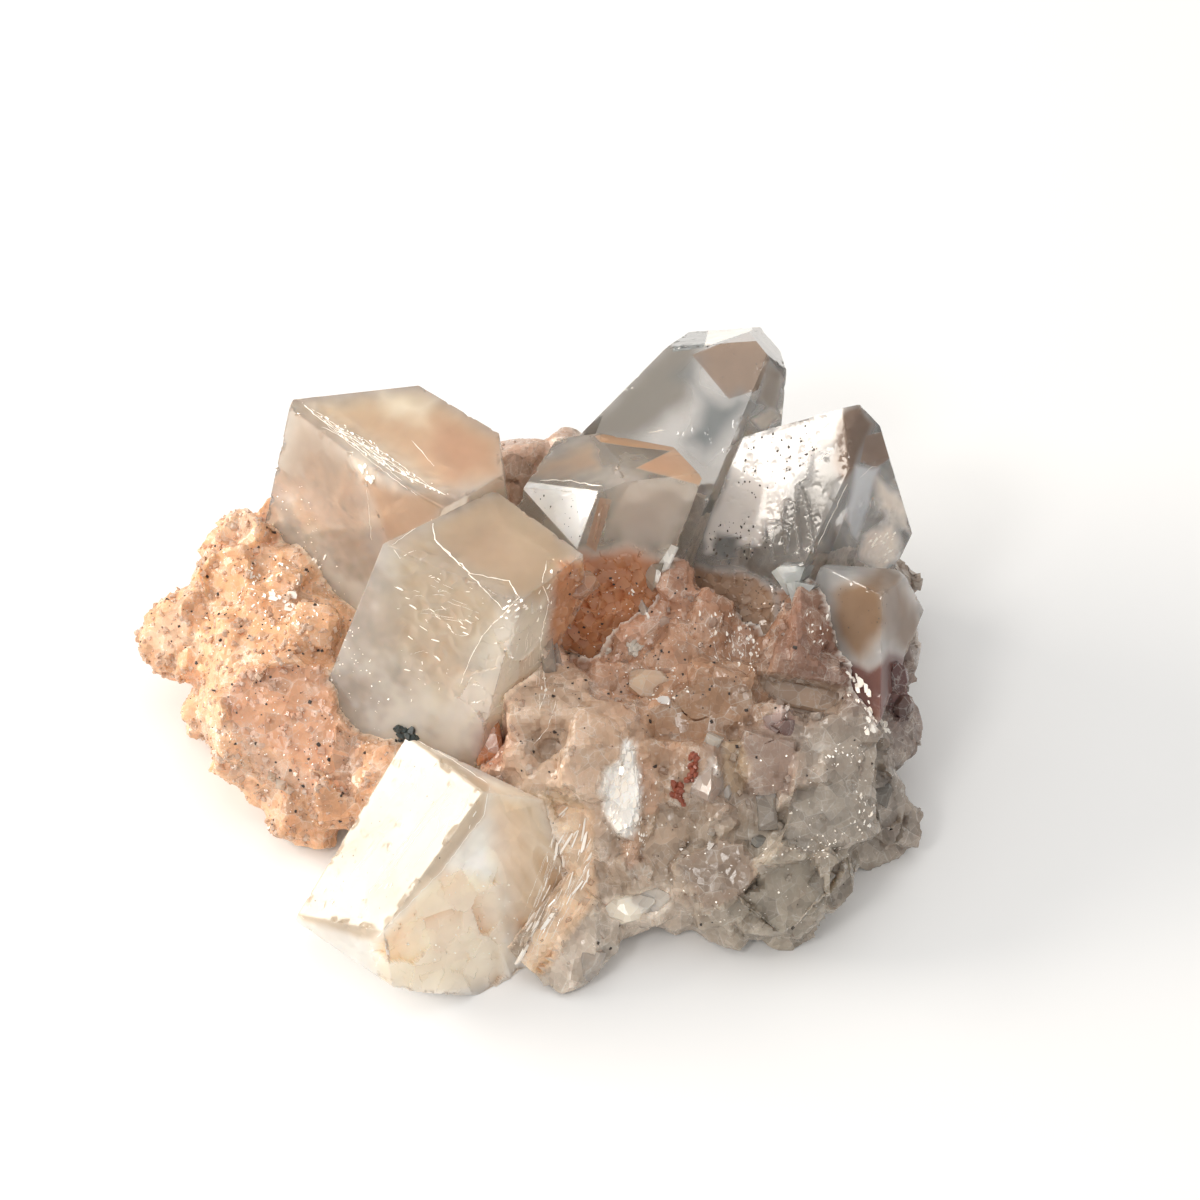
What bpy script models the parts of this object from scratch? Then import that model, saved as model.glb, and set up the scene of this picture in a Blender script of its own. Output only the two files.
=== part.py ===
"""Zeolite cluster: clear blocky crystals on one mass of peach and grey druse.

Metres, +Z up. The mass is cut flat where it rests, at Z = 0, and its long side runs along X.
Big crystals are described as a stone cutter would: a centre, then each flat face by its
heading (degrees about Z from +X), its rise (degrees above the horizon) and its reach (mm from
the centre). All sizes below are millimetres.
"""
import math
import random

import bmesh
import bpy
from mathutils import Matrix, Vector, noise

MM = 0.001

# Driving sizes, in millimetres unless a line says otherwise.
GAP = 0.3  # clearance between a big crystal and its socket
STOCK = 60.0  # half the side of the cube that a big crystal is cut from
CUT_LEVEL = 0.0  # height of the flat cut that the cluster rests on
MIDDLE = (-0.47, 2.65)  # middle of the cluster in plan, which is moved to the origin

# The body of the mass, before its small crystals.
MASS_VOXEL = 2.2
MASS_ROUGHNESS = 1.1
MASS_GRAIN = 9.0
MASS_TRIANGLES = 2600  # a count
LUMP_FINENESS = 3  # subdivisions of each lump

# The small crystals that cover the mass.
PEACH_SIDE = -12  # they are finer to the left of this
PEACH_DRUSE = (3.5, 6.5)
GREY_DRUSE = (6.0, 11.0)
DRUSE_DENSITY = 0.75  # crystals for each millimetre of a lump's radii
DRUSE_SPAN = 1.55  # share of a lump's height that they cover, where 2 is all of it
DRUSE_LOWEST = 1.5  # none starts lower than this
DRUSE_SINK = (0.12, 0.30)  # share of its size that one is sunk in
DRUSE_LEAN = 0.45  # how far one may lean away from straight out, as a slope
DRUSE_BARE = 0.93  # a point deeper than this share of another lump's radii gets none
CRYSTAL_MARGIN = 1.0  # nor does one nearer than this to a big crystal
DRUSE_SEED = 6

# The cut corners of a small crystal.
CORNER_DEPTH = (0.12, 0.30)  # share of its smallest side
CORNER_LEAN = (0.35, 1.0)
NAMED_CUTS = 4
DRUSE_CUTS = 3
DRUSE_SKEW = 14  # degrees

SLIVER = 0.03  # corners nearer than this are merged in a cut crystal
SEAM = 0.001  # the same, after a join or cut

# Colours, linear, from the object in daylight.
CLEAR = (0.80, 0.76, 0.72)
SMOKY = (0.62, 0.62, 0.62)
PEACHY = (0.78, 0.50, 0.34)
CREAM = (0.88, 0.78, 0.66)
MASS = (0.60, 0.36, 0.24)

# The big crystals: centre, colour, and faces as (face, heading, rise, reach).
CRYSTALS = {
    "rear_point": ((17, 24, 23.5), SMOKY, [
        ("front", -124, 46, 5.5), ("right", -39, 8, 7.5), ("top", 100, 50, 14.5),
        ("tip left", 150, 62, 13.5), ("shoulder", 27, 34, 17), ("left", 142, 27, 11),
        ("right back", 0, -3, 11.5), ("under", 56, -46, 8), ("left back", 141, -8, 14),
        ("root", -121, -44, 16)]),
    "right_block": ((31, 13, 21.5), SMOKY, [
        ("silver", -143, 39, 7.5), ("right", -52, 11, 6.5), ("crown", -38, 47, 14),
        ("crown left", 108, 38, 14.2), ("crown right", 33, 30, 16), ("shoulder", 9, 15, 12.5),
        ("under", 37, -39, 8), ("left", 141, -8, 9.5), ("strip", 171, 21, 11.5),
        ("root", -129, -50, 14)]),
    "middle_crystal": ((10, 12, 22), CLEAR, [
        ("bright", -146, 44, 9.5), ("top", 130, 64, 10.5), ("front", -71, 31, 5.5),
        ("right", -14, -14, 5.5), ("crown", 30, 20, 12), ("amber", 90, 66, 10.8),
        ("back", 56, -46, 2.5), ("left", 160, 0, 12), ("root", -121, -44, 12)]),
    "left_crystal": ((-17, 12, 22), CLEAR, [
        ("top", -74, 89, 12.7), ("left", -134, 17, 3.6), ("front", -126, 24, 4.5),
        ("back left", 165, 10, 15.5), ("back", 99, -12, 10.7), ("back right", 52, -8, 11.7),
        ("right", 5, 5, 14.7), ("contact", -53, 0, 7.6), ("root", -90, -80, 12)]),
    "centre_crystal": ((-7, -2, 26), CLEAR, [
        ("top", 53, 85, 8.5), ("front", -118, 24, 4), ("right", -42, 3, 7.2),
        ("left", 172, 14, 13.5), ("back", 127, 0, 9.3), ("right back", 46, 0, 11.6),
        ("contact", 34, -44, 8.7), ("root", -90, -80, 16)]),
    "front_block": ((-11, -30, 12), CREAM, [
        ("bright", -166, 57, 3.5), ("right", -56, 25, 0.5), ("foot", -128, 16, 6),
        ("top", 59, 51, 13.5), ("back", 60, -10, 14), ("left", 150, 10, 13),
        ("under", -128, -34, 10), ("under front", -102, -39, 9.8), ("end", 30, -9, 21),
        ("low end", -31, -24, 14)]),
    "dome_crystal": ((37.5, 3, 22), PEACHY, [
        ("left", -150, 30, 4.5), ("right", -20, 20, 5), ("top", 80, 60, 5), ("low", -20, -30, 6),
        ("back", 90, 0, 4), ("end", 30, 20, 6), ("left side", 180, 0, 6), ("root", -90, -70, 8)]),
}

# The body of the mass: rounded lumps as (centre, radii).
LUMPS = [
    ((2, 0, 6), (32, 23, 11)),
    ((-27.5, 4, 8), (12, 15, 11)),
    ((-37, 10, 10), (7, 6, 4.5)),
    ((-30, 15, 12), (8, 8, 8)),
    ((-18, 20, 8), (16, 10, 10)),
    ((-22, -8, 5), (9.5, 6, 6)),
    ((5, -10, 10), (12, 9, 9)),
    ((16, 4, 12), (12, 9, 9)),
    ((26, -8, 6), (13.5, 16, 11)),
    ((32, 4, 14), (10, 9, 9)),
    ((33, -4, 10), (6, 9, 8)),
    ((26, -18, 3), (10, 6, 6.5)),
    ((11, -20, 3), (9, 5, 6)),
    ((12, 20, 8), (22, 12, 12)),
    ((30, 16, 9), (11, 10, 11)),
]

# Small crystals that show one by one, fused to the mass: where, size, heading, rise and spin.
SMALL_CRYSTALS = {
    "pale plate": ((-29, -3, 12), (15, 11, 5), -120, 50, 20),
    "lower band": ((-27, -9, 6), (14, 7, 5), -120, 30, 10),
    "left tip": ((-42, 8, 10), (5, 5, 8), 170, 5, 30),
    "upper left point": ((-34, 20, 14), (5, 5, 7), 140, 40, 0),
    "upper left edge": ((-36, 16, 13), (6, 5, 6), 170, 30, 45),
    "orange block": ((-5, -9, 11), (6, 6, 10), -95, 60, 20),
    "slim crystal": ((2, -1, 16), (3.5, 3.5, 13), -100, 70, 15),
    "back tip": ((-2, 24.5, 21), (6, 6, 9), 110, 60, 10),
    "back tip beside": ((4, 26, 21), (6, 5, 9), 80, 60, 40),
    "companion": ((15, 9, 20), (5, 5, 9), -60, 60, 30),
    "glassy wedge": ((29, 8, 22), (8, 5, 6), -90, 45, 10),
    "lower wedge": ((31, 4, 22), (7, 5, 5), -80, 60, 60),
    "bright lump": ((10, -16, 12), (7, 14, 6), -110, 50, 0),
    "pink block": ((21, -22, 7), (10, 9, 9), -85, 35, 20),
    "white crystal": ((12, -24, 5), (4, 5, 9), -10, 10, 20),
    "grey corner": ((10, -24, 3), (8, 6, 6), -60, 30, 10),
    "front slab": ((4, -28.5, 3.5), (11, 9, 6), -70, 35, 35),
    "blade": ((31, -6, 18), (2.5, 2.5, 10), 5, -10, 10),
    "pink wedge": ((27, -9, 17), (5, 5, 6), -100, 60, 45),
    "yellow block": ((23, -13, 14), (6, 6, 7), -70, 50, 20),
    "round crystal": ((33, -17, 11), (9, 7, 7), -60, 50, 10),
}


def direction(heading, rise):
    """Unit vector for a heading about Z and a rise above the horizon, in degrees."""
    turn = math.radians(heading)
    lift = math.radians(rise)
    return Vector((math.cos(turn) * math.cos(lift), math.sin(turn) * math.cos(lift), math.sin(lift)))


def cut_away(bm, point, normal):
    """Cut a closed shape by a plane, drop what lies past it and close the cut flat."""
    geometry = bm.verts[:] + bm.edges[:] + bm.faces[:]
    result = bmesh.ops.bisect_plane(
        bm, geom=geometry, plane_co=point, plane_no=normal, dist=1e-7, clear_outer=True)
    rim = [item for item in result["geom_cut"] if isinstance(item, bmesh.types.BMEdge)]
    if rim:
        bmesh.ops.holes_fill(bm, edges=rim)


def tidy(bm, merge):
    """Merge near corners and point every face outwards."""
    bmesh.ops.remove_doubles(bm, verts=bm.verts, dist=merge)
    bmesh.ops.dissolve_degenerate(bm, edges=bm.edges, dist=merge)
    bmesh.ops.recalc_face_normals(bm, faces=bm.faces)


def faceted(centre, faces, extra=0.0):
    """A cube cut to flat faces, each moved out by extra, in a new bmesh in metres."""
    bm = bmesh.new()
    middle = Vector(centre) * MM
    bmesh.ops.create_cube(bm, size=2 * STOCK * MM, matrix=Matrix.Translation(middle))
    for _, heading, rise, reach in faces:
        normal = direction(heading, rise)
        cut_away(bm, middle + normal * (reach + extra) * MM, normal)
    tidy(bm, SLIVER * MM)
    return bm


def block(at, size, towards, spin, cuts, rng, skew):
    """A small blocky crystal: a box set along a direction, with its corners cut at random."""
    bm = bmesh.new()
    axis = towards.to_track_quat("Z", "Y").to_matrix().to_4x4()
    turn = Matrix.Rotation(math.radians(spin), 4, "Z")
    stretch = Matrix.Diagonal((size[0] * MM, size[1] * MM, size[2] * MM, 1))
    bmesh.ops.create_cube(bm, size=1.0, matrix=stretch)
    half = Vector(size) * MM / 2
    for _ in range(cuts):
        side = Vector([rng.choice((-1, 1)) for _ in range(3)])
        side.z = abs(side.z)
        lean = Vector([rng.uniform(*CORNER_LEAN) for _ in range(3)])
        normal = Vector([s * n for s, n in zip(side, lean)]).normalized()
        corner = Vector([s * h for s, h in zip(side, half)])
        depth = rng.uniform(*CORNER_DEPTH) * min(size) * MM
        cut_away(bm, corner - normal * depth, normal)
    tilt = Matrix.Rotation(math.radians(rng.uniform(-skew, skew)), 4, "X")
    place = Matrix.Translation(Vector(at) * MM) @ axis @ tilt @ turn
    bmesh.ops.transform(bm, matrix=place, verts=bm.verts)
    tidy(bm, SLIVER * MM)
    return bm


def mesh_from(bm, name):
    """A mesh made of a finished bmesh, which is freed."""
    mesh = bpy.data.meshes.new(name)
    bm.to_mesh(mesh)
    bm.free()
    return mesh


def temporary(mesh, holder):
    """A helper object that is never drawn and is removed after use."""
    thing = bpy.data.objects.new(mesh.name, mesh)
    thing.hide_render = True
    thing.display_type = "WIRE"
    holder.objects.link(thing)
    return thing


def evaluated_mesh(thing):
    """The mesh that an object has after its modifiers."""
    bpy.context.view_layer.update()
    graph = bpy.context.evaluated_depsgraph_get()
    return bpy.data.meshes.new_from_object(thing.evaluated_get(graph), depsgraph=graph)


def combine(base, others, operation):
    """Join or cut a mesh with many others in one exact Boolean, and return the new mesh."""
    holder = bpy.data.collections.new("helpers")
    tools = bpy.data.collections.new("tools")
    bpy.context.scene.collection.children.link(holder)
    bpy.context.scene.collection.children.link(tools)
    body = temporary(base, holder)
    for mesh in others:
        temporary(mesh, tools)
    boolean = body.modifiers.new("combine", "BOOLEAN")
    boolean.operation = operation
    boolean.solver = "EXACT"
    boolean.operand_type = "COLLECTION"
    boolean.collection = tools
    result = evaluated_mesh(body)
    for collection in (holder, tools):
        for thing in list(collection.objects):
            bpy.data.objects.remove(thing)
        bpy.data.collections.remove(collection)
    return result


def keep_largest(mesh):
    """Drop loose chips, so that one closed body is left."""
    bm = bmesh.new()
    bm.from_mesh(mesh)
    bmesh.ops.remove_doubles(bm, verts=bm.verts, dist=SEAM * MM)
    bmesh.ops.recalc_face_normals(bm, faces=bm.faces)
    unseen = set(bm.faces)
    bodies = []
    while unseen:
        front = [unseen.pop()]
        body = list(front)
        while front:
            for edge in front.pop().edges:
                for face in edge.link_faces:
                    if face in unseen:
                        unseen.remove(face)
                        front.append(face)
                        body.append(face)
        bodies.append(body)
    bodies.sort(key=lambda body: sum(face.calc_area() for face in body))
    for body in bodies[:-1]:
        bmesh.ops.delete(bm, geom=body, context="FACES")
    bm.to_mesh(mesh)
    bm.free()
    return mesh


def lump_mesh():
    """The rough body of the mass: rounded lumps grown together, roughened and coarsened."""
    bm = bmesh.new()
    for centre, radii in LUMPS:
        shape = Matrix.Translation(Vector(centre) * MM) @ Matrix.Diagonal([r * MM for r in radii] + [1])
        bmesh.ops.create_icosphere(bm, subdivisions=LUMP_FINENESS, radius=1, matrix=shape)
    holder = bpy.data.collections.new("helpers")
    bpy.context.scene.collection.children.link(holder)
    body = temporary(mesh_from(bm, "lumps"), holder)
    remesh = body.modifiers.new("grow together", "REMESH")
    remesh.mode = "VOXEL"
    remesh.voxel_size = MASS_VOXEL * MM
    mesh = evaluated_mesh(body)
    for vertex in mesh.vertices:
        coarse_push = noise.noise(vertex.co / (MASS_GRAIN * MM))
        fine_push = noise.noise(vertex.co / (0.4 * MASS_GRAIN * MM))
        push = coarse_push + 0.5 * fine_push
        vertex.co += vertex.normal * push * MASS_ROUGHNESS * MM
    body.modifiers.clear()
    body.data = mesh
    coarse = body.modifiers.new("coarsen", "DECIMATE")
    coarse.ratio = MASS_TRIANGLES / sum(len(face.vertices) - 2 for face in mesh.polygons)
    result = evaluated_mesh(body)
    bpy.data.objects.remove(body)
    bpy.data.collections.remove(holder)
    return result


def inside_lump(point, shrink):
    """Whether a point in millimetres lies in a rounded lump shrunk by a factor."""
    for centre, radii in LUMPS:
        away = point - Vector(centre)
        if sum((away[i] / (radii[i] * shrink)) ** 2 for i in range(3)) < 1:
            return True
    return False


def inside_crystal(point, margin):
    """Whether a point in millimetres lies in a big crystal, or within a margin of it."""
    for centre, _, faces in CRYSTALS.values():
        away = point - Vector(centre)
        if all(away.dot(direction(h, r)) < reach + margin for _, h, r, reach in faces):
            return True
    return False


def druse():
    """Small crystals all over the mass: fine on the peach side, blocky on the grey side."""
    rng = random.Random(DRUSE_SEED)
    blocks = []
    for at, size, heading, rise, spin in SMALL_CRYSTALS.values():
        blocks.append(block(at, size, direction(heading, rise), spin, NAMED_CUTS, rng, 0))
    golden = math.pi * (3 - math.sqrt(5))
    for centre, radii in LUMPS:
        count = int(sum(radii) * DRUSE_DENSITY)
        for step in range(count):
            height = 1 - DRUSE_SPAN * (step + 0.5) / count
            ring = math.sqrt(1 - height * height)
            angle = golden * step + rng.uniform(-0.4, 0.4)
            normal = Vector((ring * math.cos(angle), ring * math.sin(angle), height))
            point = Vector(centre) + Vector([n * r for n, r in zip(normal, radii)])
            buried = inside_lump(point, DRUSE_BARE) or inside_crystal(point, CRYSTAL_MARGIN)
            if buried or point.z < DRUSE_LOWEST:
                continue
            outward = Vector([n / r for n, r in zip(normal, radii)]).normalized()
            peach = point.x < PEACH_SIDE
            size = rng.uniform(*PEACH_DRUSE) if peach else rng.uniform(*GREY_DRUSE)
            shape = (size, size * rng.uniform(0.7, 1.0), size * rng.uniform(0.9, 1.3))
            sunk = point - outward * size * rng.uniform(*DRUSE_SINK)
            slope = Vector([rng.uniform(-DRUSE_LEAN, DRUSE_LEAN) for _ in range(3)])
            lean = (outward + slope).normalized()
            blocks.append(block(sunk, shape, lean, rng.uniform(0, 90), DRUSE_CUTS, rng, DRUSE_SKEW))
    return blocks


def material(name, colour, roughness, transmission):
    """A plain surface for one piece."""
    surface = bpy.data.materials.new(name)
    surface.use_nodes = True
    shader = surface.node_tree.nodes["Principled BSDF"]
    shader.inputs["Base Color"].default_value = (*colour, 1)
    shader.inputs["Roughness"].default_value = roughness
    shader.inputs["Metallic"].default_value = 0.0
    shader.inputs["Transmission Weight"].default_value = transmission
    surface.diffuse_color = (*colour, 1)
    return surface


def add_piece(name, mesh, surface, collection):
    """Add a finished shape, moved so that the middle of the whole cluster is over the origin."""
    mesh.transform(Matrix.Translation((-MIDDLE[0] * MM, -MIDDLE[1] * MM, 0)))
    piece = bpy.data.objects.new(name, mesh)
    mesh.name = name
    mesh.materials.clear()
    mesh.materials.append(surface)
    collection.objects.link(piece)
    return piece


def build():
    """Make every crystal, then the mass that they stand in."""
    for thing in list(bpy.data.objects):
        bpy.data.objects.remove(thing)
    collection = bpy.data.collections.new("zeolite_cluster")
    bpy.context.scene.collection.children.link(collection)
    earlier = []
    for name, (centre, colour, faces) in CRYSTALS.items():
        mesh = mesh_from(faceted(centre, faces), name)
        bm = bmesh.new()
        bm.from_mesh(mesh)
        cut_away(bm, Vector((0, 0, CUT_LEVEL)) * MM, Vector((0, 0, -1)))
        tidy(bm, SLIVER * MM)
        bm.to_mesh(mesh)
        bm.free()
        if earlier:
            mesh = keep_largest(combine(mesh, [item.copy() for item in earlier], "DIFFERENCE"))
        add_piece(name, mesh, material(name, colour, 0.08, 0.8), collection)
        earlier.append(mesh_from(faceted(centre, faces, GAP), name + " socket"))
    mass = combine(lump_mesh(), [mesh_from(item, "block") for item in druse()], "UNION")
    bm = bmesh.new()
    size = 2 * STOCK * MM
    bmesh.ops.create_cube(bm, size=size, matrix=Matrix.Translation((0, 0, size / 2 + CUT_LEVEL * MM)))
    mass = combine(mass, [mesh_from(bm, "above the cut")], "INTERSECT")
    mass = keep_largest(combine(mass, earlier, "DIFFERENCE"))
    add_piece("matrix", mass, material("matrix", MASS, 0.45, 0.0), collection)


build()
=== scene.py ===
"""Looks of a zeolite cluster: clear blocky crystals on a peach and grey-brown druse.

Lengths are in metres, +Z up, in the same frame as the solid model. Places are given as points of
the 1200 by 1200 view that the camera sees, and are dropped onto the solid model along the line of
sight, so each small feature sits on the crystal or crust that carries it.
"""

import math
from functools import cached_property

import bmesh
import bpy
import numpy as np
from bpy.props import FloatProperty, FloatVectorProperty, IntProperty, PointerProperty
from mathutils import Matrix, Vector, noise
from mathutils.bvhtree import BVHTree
from mathutils.kdtree import KDTree


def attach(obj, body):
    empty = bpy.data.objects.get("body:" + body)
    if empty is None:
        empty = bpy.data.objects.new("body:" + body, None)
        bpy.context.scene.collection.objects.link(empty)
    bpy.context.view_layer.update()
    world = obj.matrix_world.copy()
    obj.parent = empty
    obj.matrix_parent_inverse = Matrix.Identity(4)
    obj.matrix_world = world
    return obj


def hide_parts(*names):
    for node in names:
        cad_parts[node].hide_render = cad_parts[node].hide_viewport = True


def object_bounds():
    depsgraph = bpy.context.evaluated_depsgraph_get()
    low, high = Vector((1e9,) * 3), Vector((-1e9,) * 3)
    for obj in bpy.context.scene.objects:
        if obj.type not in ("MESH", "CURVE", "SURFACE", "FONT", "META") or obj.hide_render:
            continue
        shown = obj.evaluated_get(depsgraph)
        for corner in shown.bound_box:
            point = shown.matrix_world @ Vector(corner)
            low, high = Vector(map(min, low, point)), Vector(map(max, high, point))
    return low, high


bl_info = {
    "name": "Zeolite Cluster",
    "version": (1, 0, 0),
    "blender": (4, 5, 0),
    "location": "3D View > Sidebar > Zeolite",
    "description": "Builds the crystals, crust and light of a zeolite cluster",
    "category": "Object",
}

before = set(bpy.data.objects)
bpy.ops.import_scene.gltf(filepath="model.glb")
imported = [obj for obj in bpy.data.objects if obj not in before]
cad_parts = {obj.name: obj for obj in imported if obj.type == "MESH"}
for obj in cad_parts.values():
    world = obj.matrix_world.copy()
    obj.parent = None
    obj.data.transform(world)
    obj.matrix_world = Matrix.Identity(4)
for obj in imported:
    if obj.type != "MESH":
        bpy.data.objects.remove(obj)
CAD_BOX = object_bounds()

NOISE_SEED = 7  # fixed, because vector noise would otherwise start from the clock
noise.seed_set(NOISE_SEED)

MM = 0.001
FINE_EDGE = 0.3 * MM  # mesh edge where a crystal's face is broken or etched
CRISP = 3.5  # a patch with an edge softer than this many pixels has its outline cut into the mesh
GROWN_IN = 0.6 * MM  # how far the crust reaches across the gap into a crystal's foot
FACE_SHIFT = 2.2 * MM  # how far the crust moves at most to lie in a flat face
RELIEF_LIMIT = 0.9 * MM  # how far fine relief moves a surface at most
RIDGE_LIMIT = 0.35 * MM  # how far relief raises a crystal's face at most
NICK_REACH = 0.7 * MM  # how far from a sharp edge its small chips go
FLOOR_GAP = 0.05 * MM  # how far the small pieces stay above the floor

# The camera: what it looks at, from how far and how high, and its lens.
LOOK_AT = Vector((7.97, 2.75, 21.5)) * MM
CAMERA_DISTANCE = 380 * MM
CAMERA_ELEVATION = math.radians(50)
LENS = 100.0
SENSOR = 36.0
VIEW_PIXELS = 1200

# Soft colour areas of the crust: view x, view y, reach in mm, colour, and how glassy it is.
CRUST_AREAS = {
    "peach shoulder": (270, 520, 9, (0.94, 0.54, 0.32), 0.3),
    "peach middle": (250, 600, 11, (0.80, 0.445, 0.24), 0.1),
    "peach tip": (165, 640, 8, (0.85, 0.49, 0.28), 0.2),
    "peach under the plate": (240, 760, 8, (0.90, 0.54, 0.33), 0.2),
    "peach foot": (320, 800, 8, (0.64, 0.335, 0.18), 0.3),
    "peach beside the centre crystal": (355, 690, 8, (0.64, 0.345, 0.19), 0.2),
    "little crystals behind": (515, 450, 6, (0.66, 0.42, 0.30), 0.5),
    "grey foot of the centre crystal": (520, 760, 9, (0.74, 0.56, 0.42), 0.7),
    "orange hollow": (487, 738, 5, (0.62, 0.26, 0.14), 0.5),
    "brown pocket": (630, 600, 12, (0.48, 0.22, 0.12), 0.4),
    "pocket floor": (650, 690, 8, (0.72, 0.43, 0.28), 0.5),
    "slope under the pocket": (600, 740, 8, (0.66, 0.43, 0.28), 0.6),
    "brown slope": (700, 715, 9, (0.50, 0.27, 0.145), 0.7),
    "round brown crystal": (757, 597, 6, (0.34, 0.165, 0.09), 0.5),
    "pink shoulder": (815, 640, 6, (0.29, 0.135, 0.085), 0.5),
    "purple stain": (893, 672, 7, (0.10, 0.045, 0.045), 0.5),
    "stained edge": (908, 715, 5, (0.15, 0.09, 0.08), 0.5),
    # The grey areas that follow are the crust's own grey-brown, set darker partly as painted shade, since
    # that side is turned from the key light.
    "mauve face": (765, 760, 7, (0.48, 0.34, 0.26), 0.7),
    "grey cliff": (895, 790, 8, (0.42, 0.36, 0.30), 0.8),
    "grey bay": (800, 890, 13, (0.49, 0.42, 0.33), 0.8),
    "grey shoulder": (850, 810, 9, (0.48, 0.41, 0.34), 0.8),
    "warm foot": (650, 850, 8, (0.58, 0.43, 0.32), 0.6),
    "pale foot": (640, 925, 8, (0.66, 0.54, 0.43), 0.7),
    "slab side": (565, 960, 7, (0.66, 0.54, 0.43), 0.7),
}
HIDDEN_PEACH = (0.80, 0.49, 0.30, 0.2)  # colour and glassiness where the view shows nothing
# The grey of the right side is the crust's own, darker partly as painted shade.
HIDDEN_GREY = (0.44, 0.36, 0.30, 0.6)
SOCKET_WARM = (0.98, 0.76, 0.58, 0.2)  # inside the sockets, seen through the crystals
SOCKET_GREY = (0.88, 0.79, 0.72, 0.2)
PAINTED_HOLLOW_SHADE = (0.06, 0.14, 0.22)  # how much red, green and blue a broken hollow loses: painted shade in the hollows
CHIP_TONE = 0.16  # how much the tone of a milky face changes from chip to chip
BEHIND_HAZE = 0.34  # haze of the crystal faces that the view doesn't show

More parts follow.
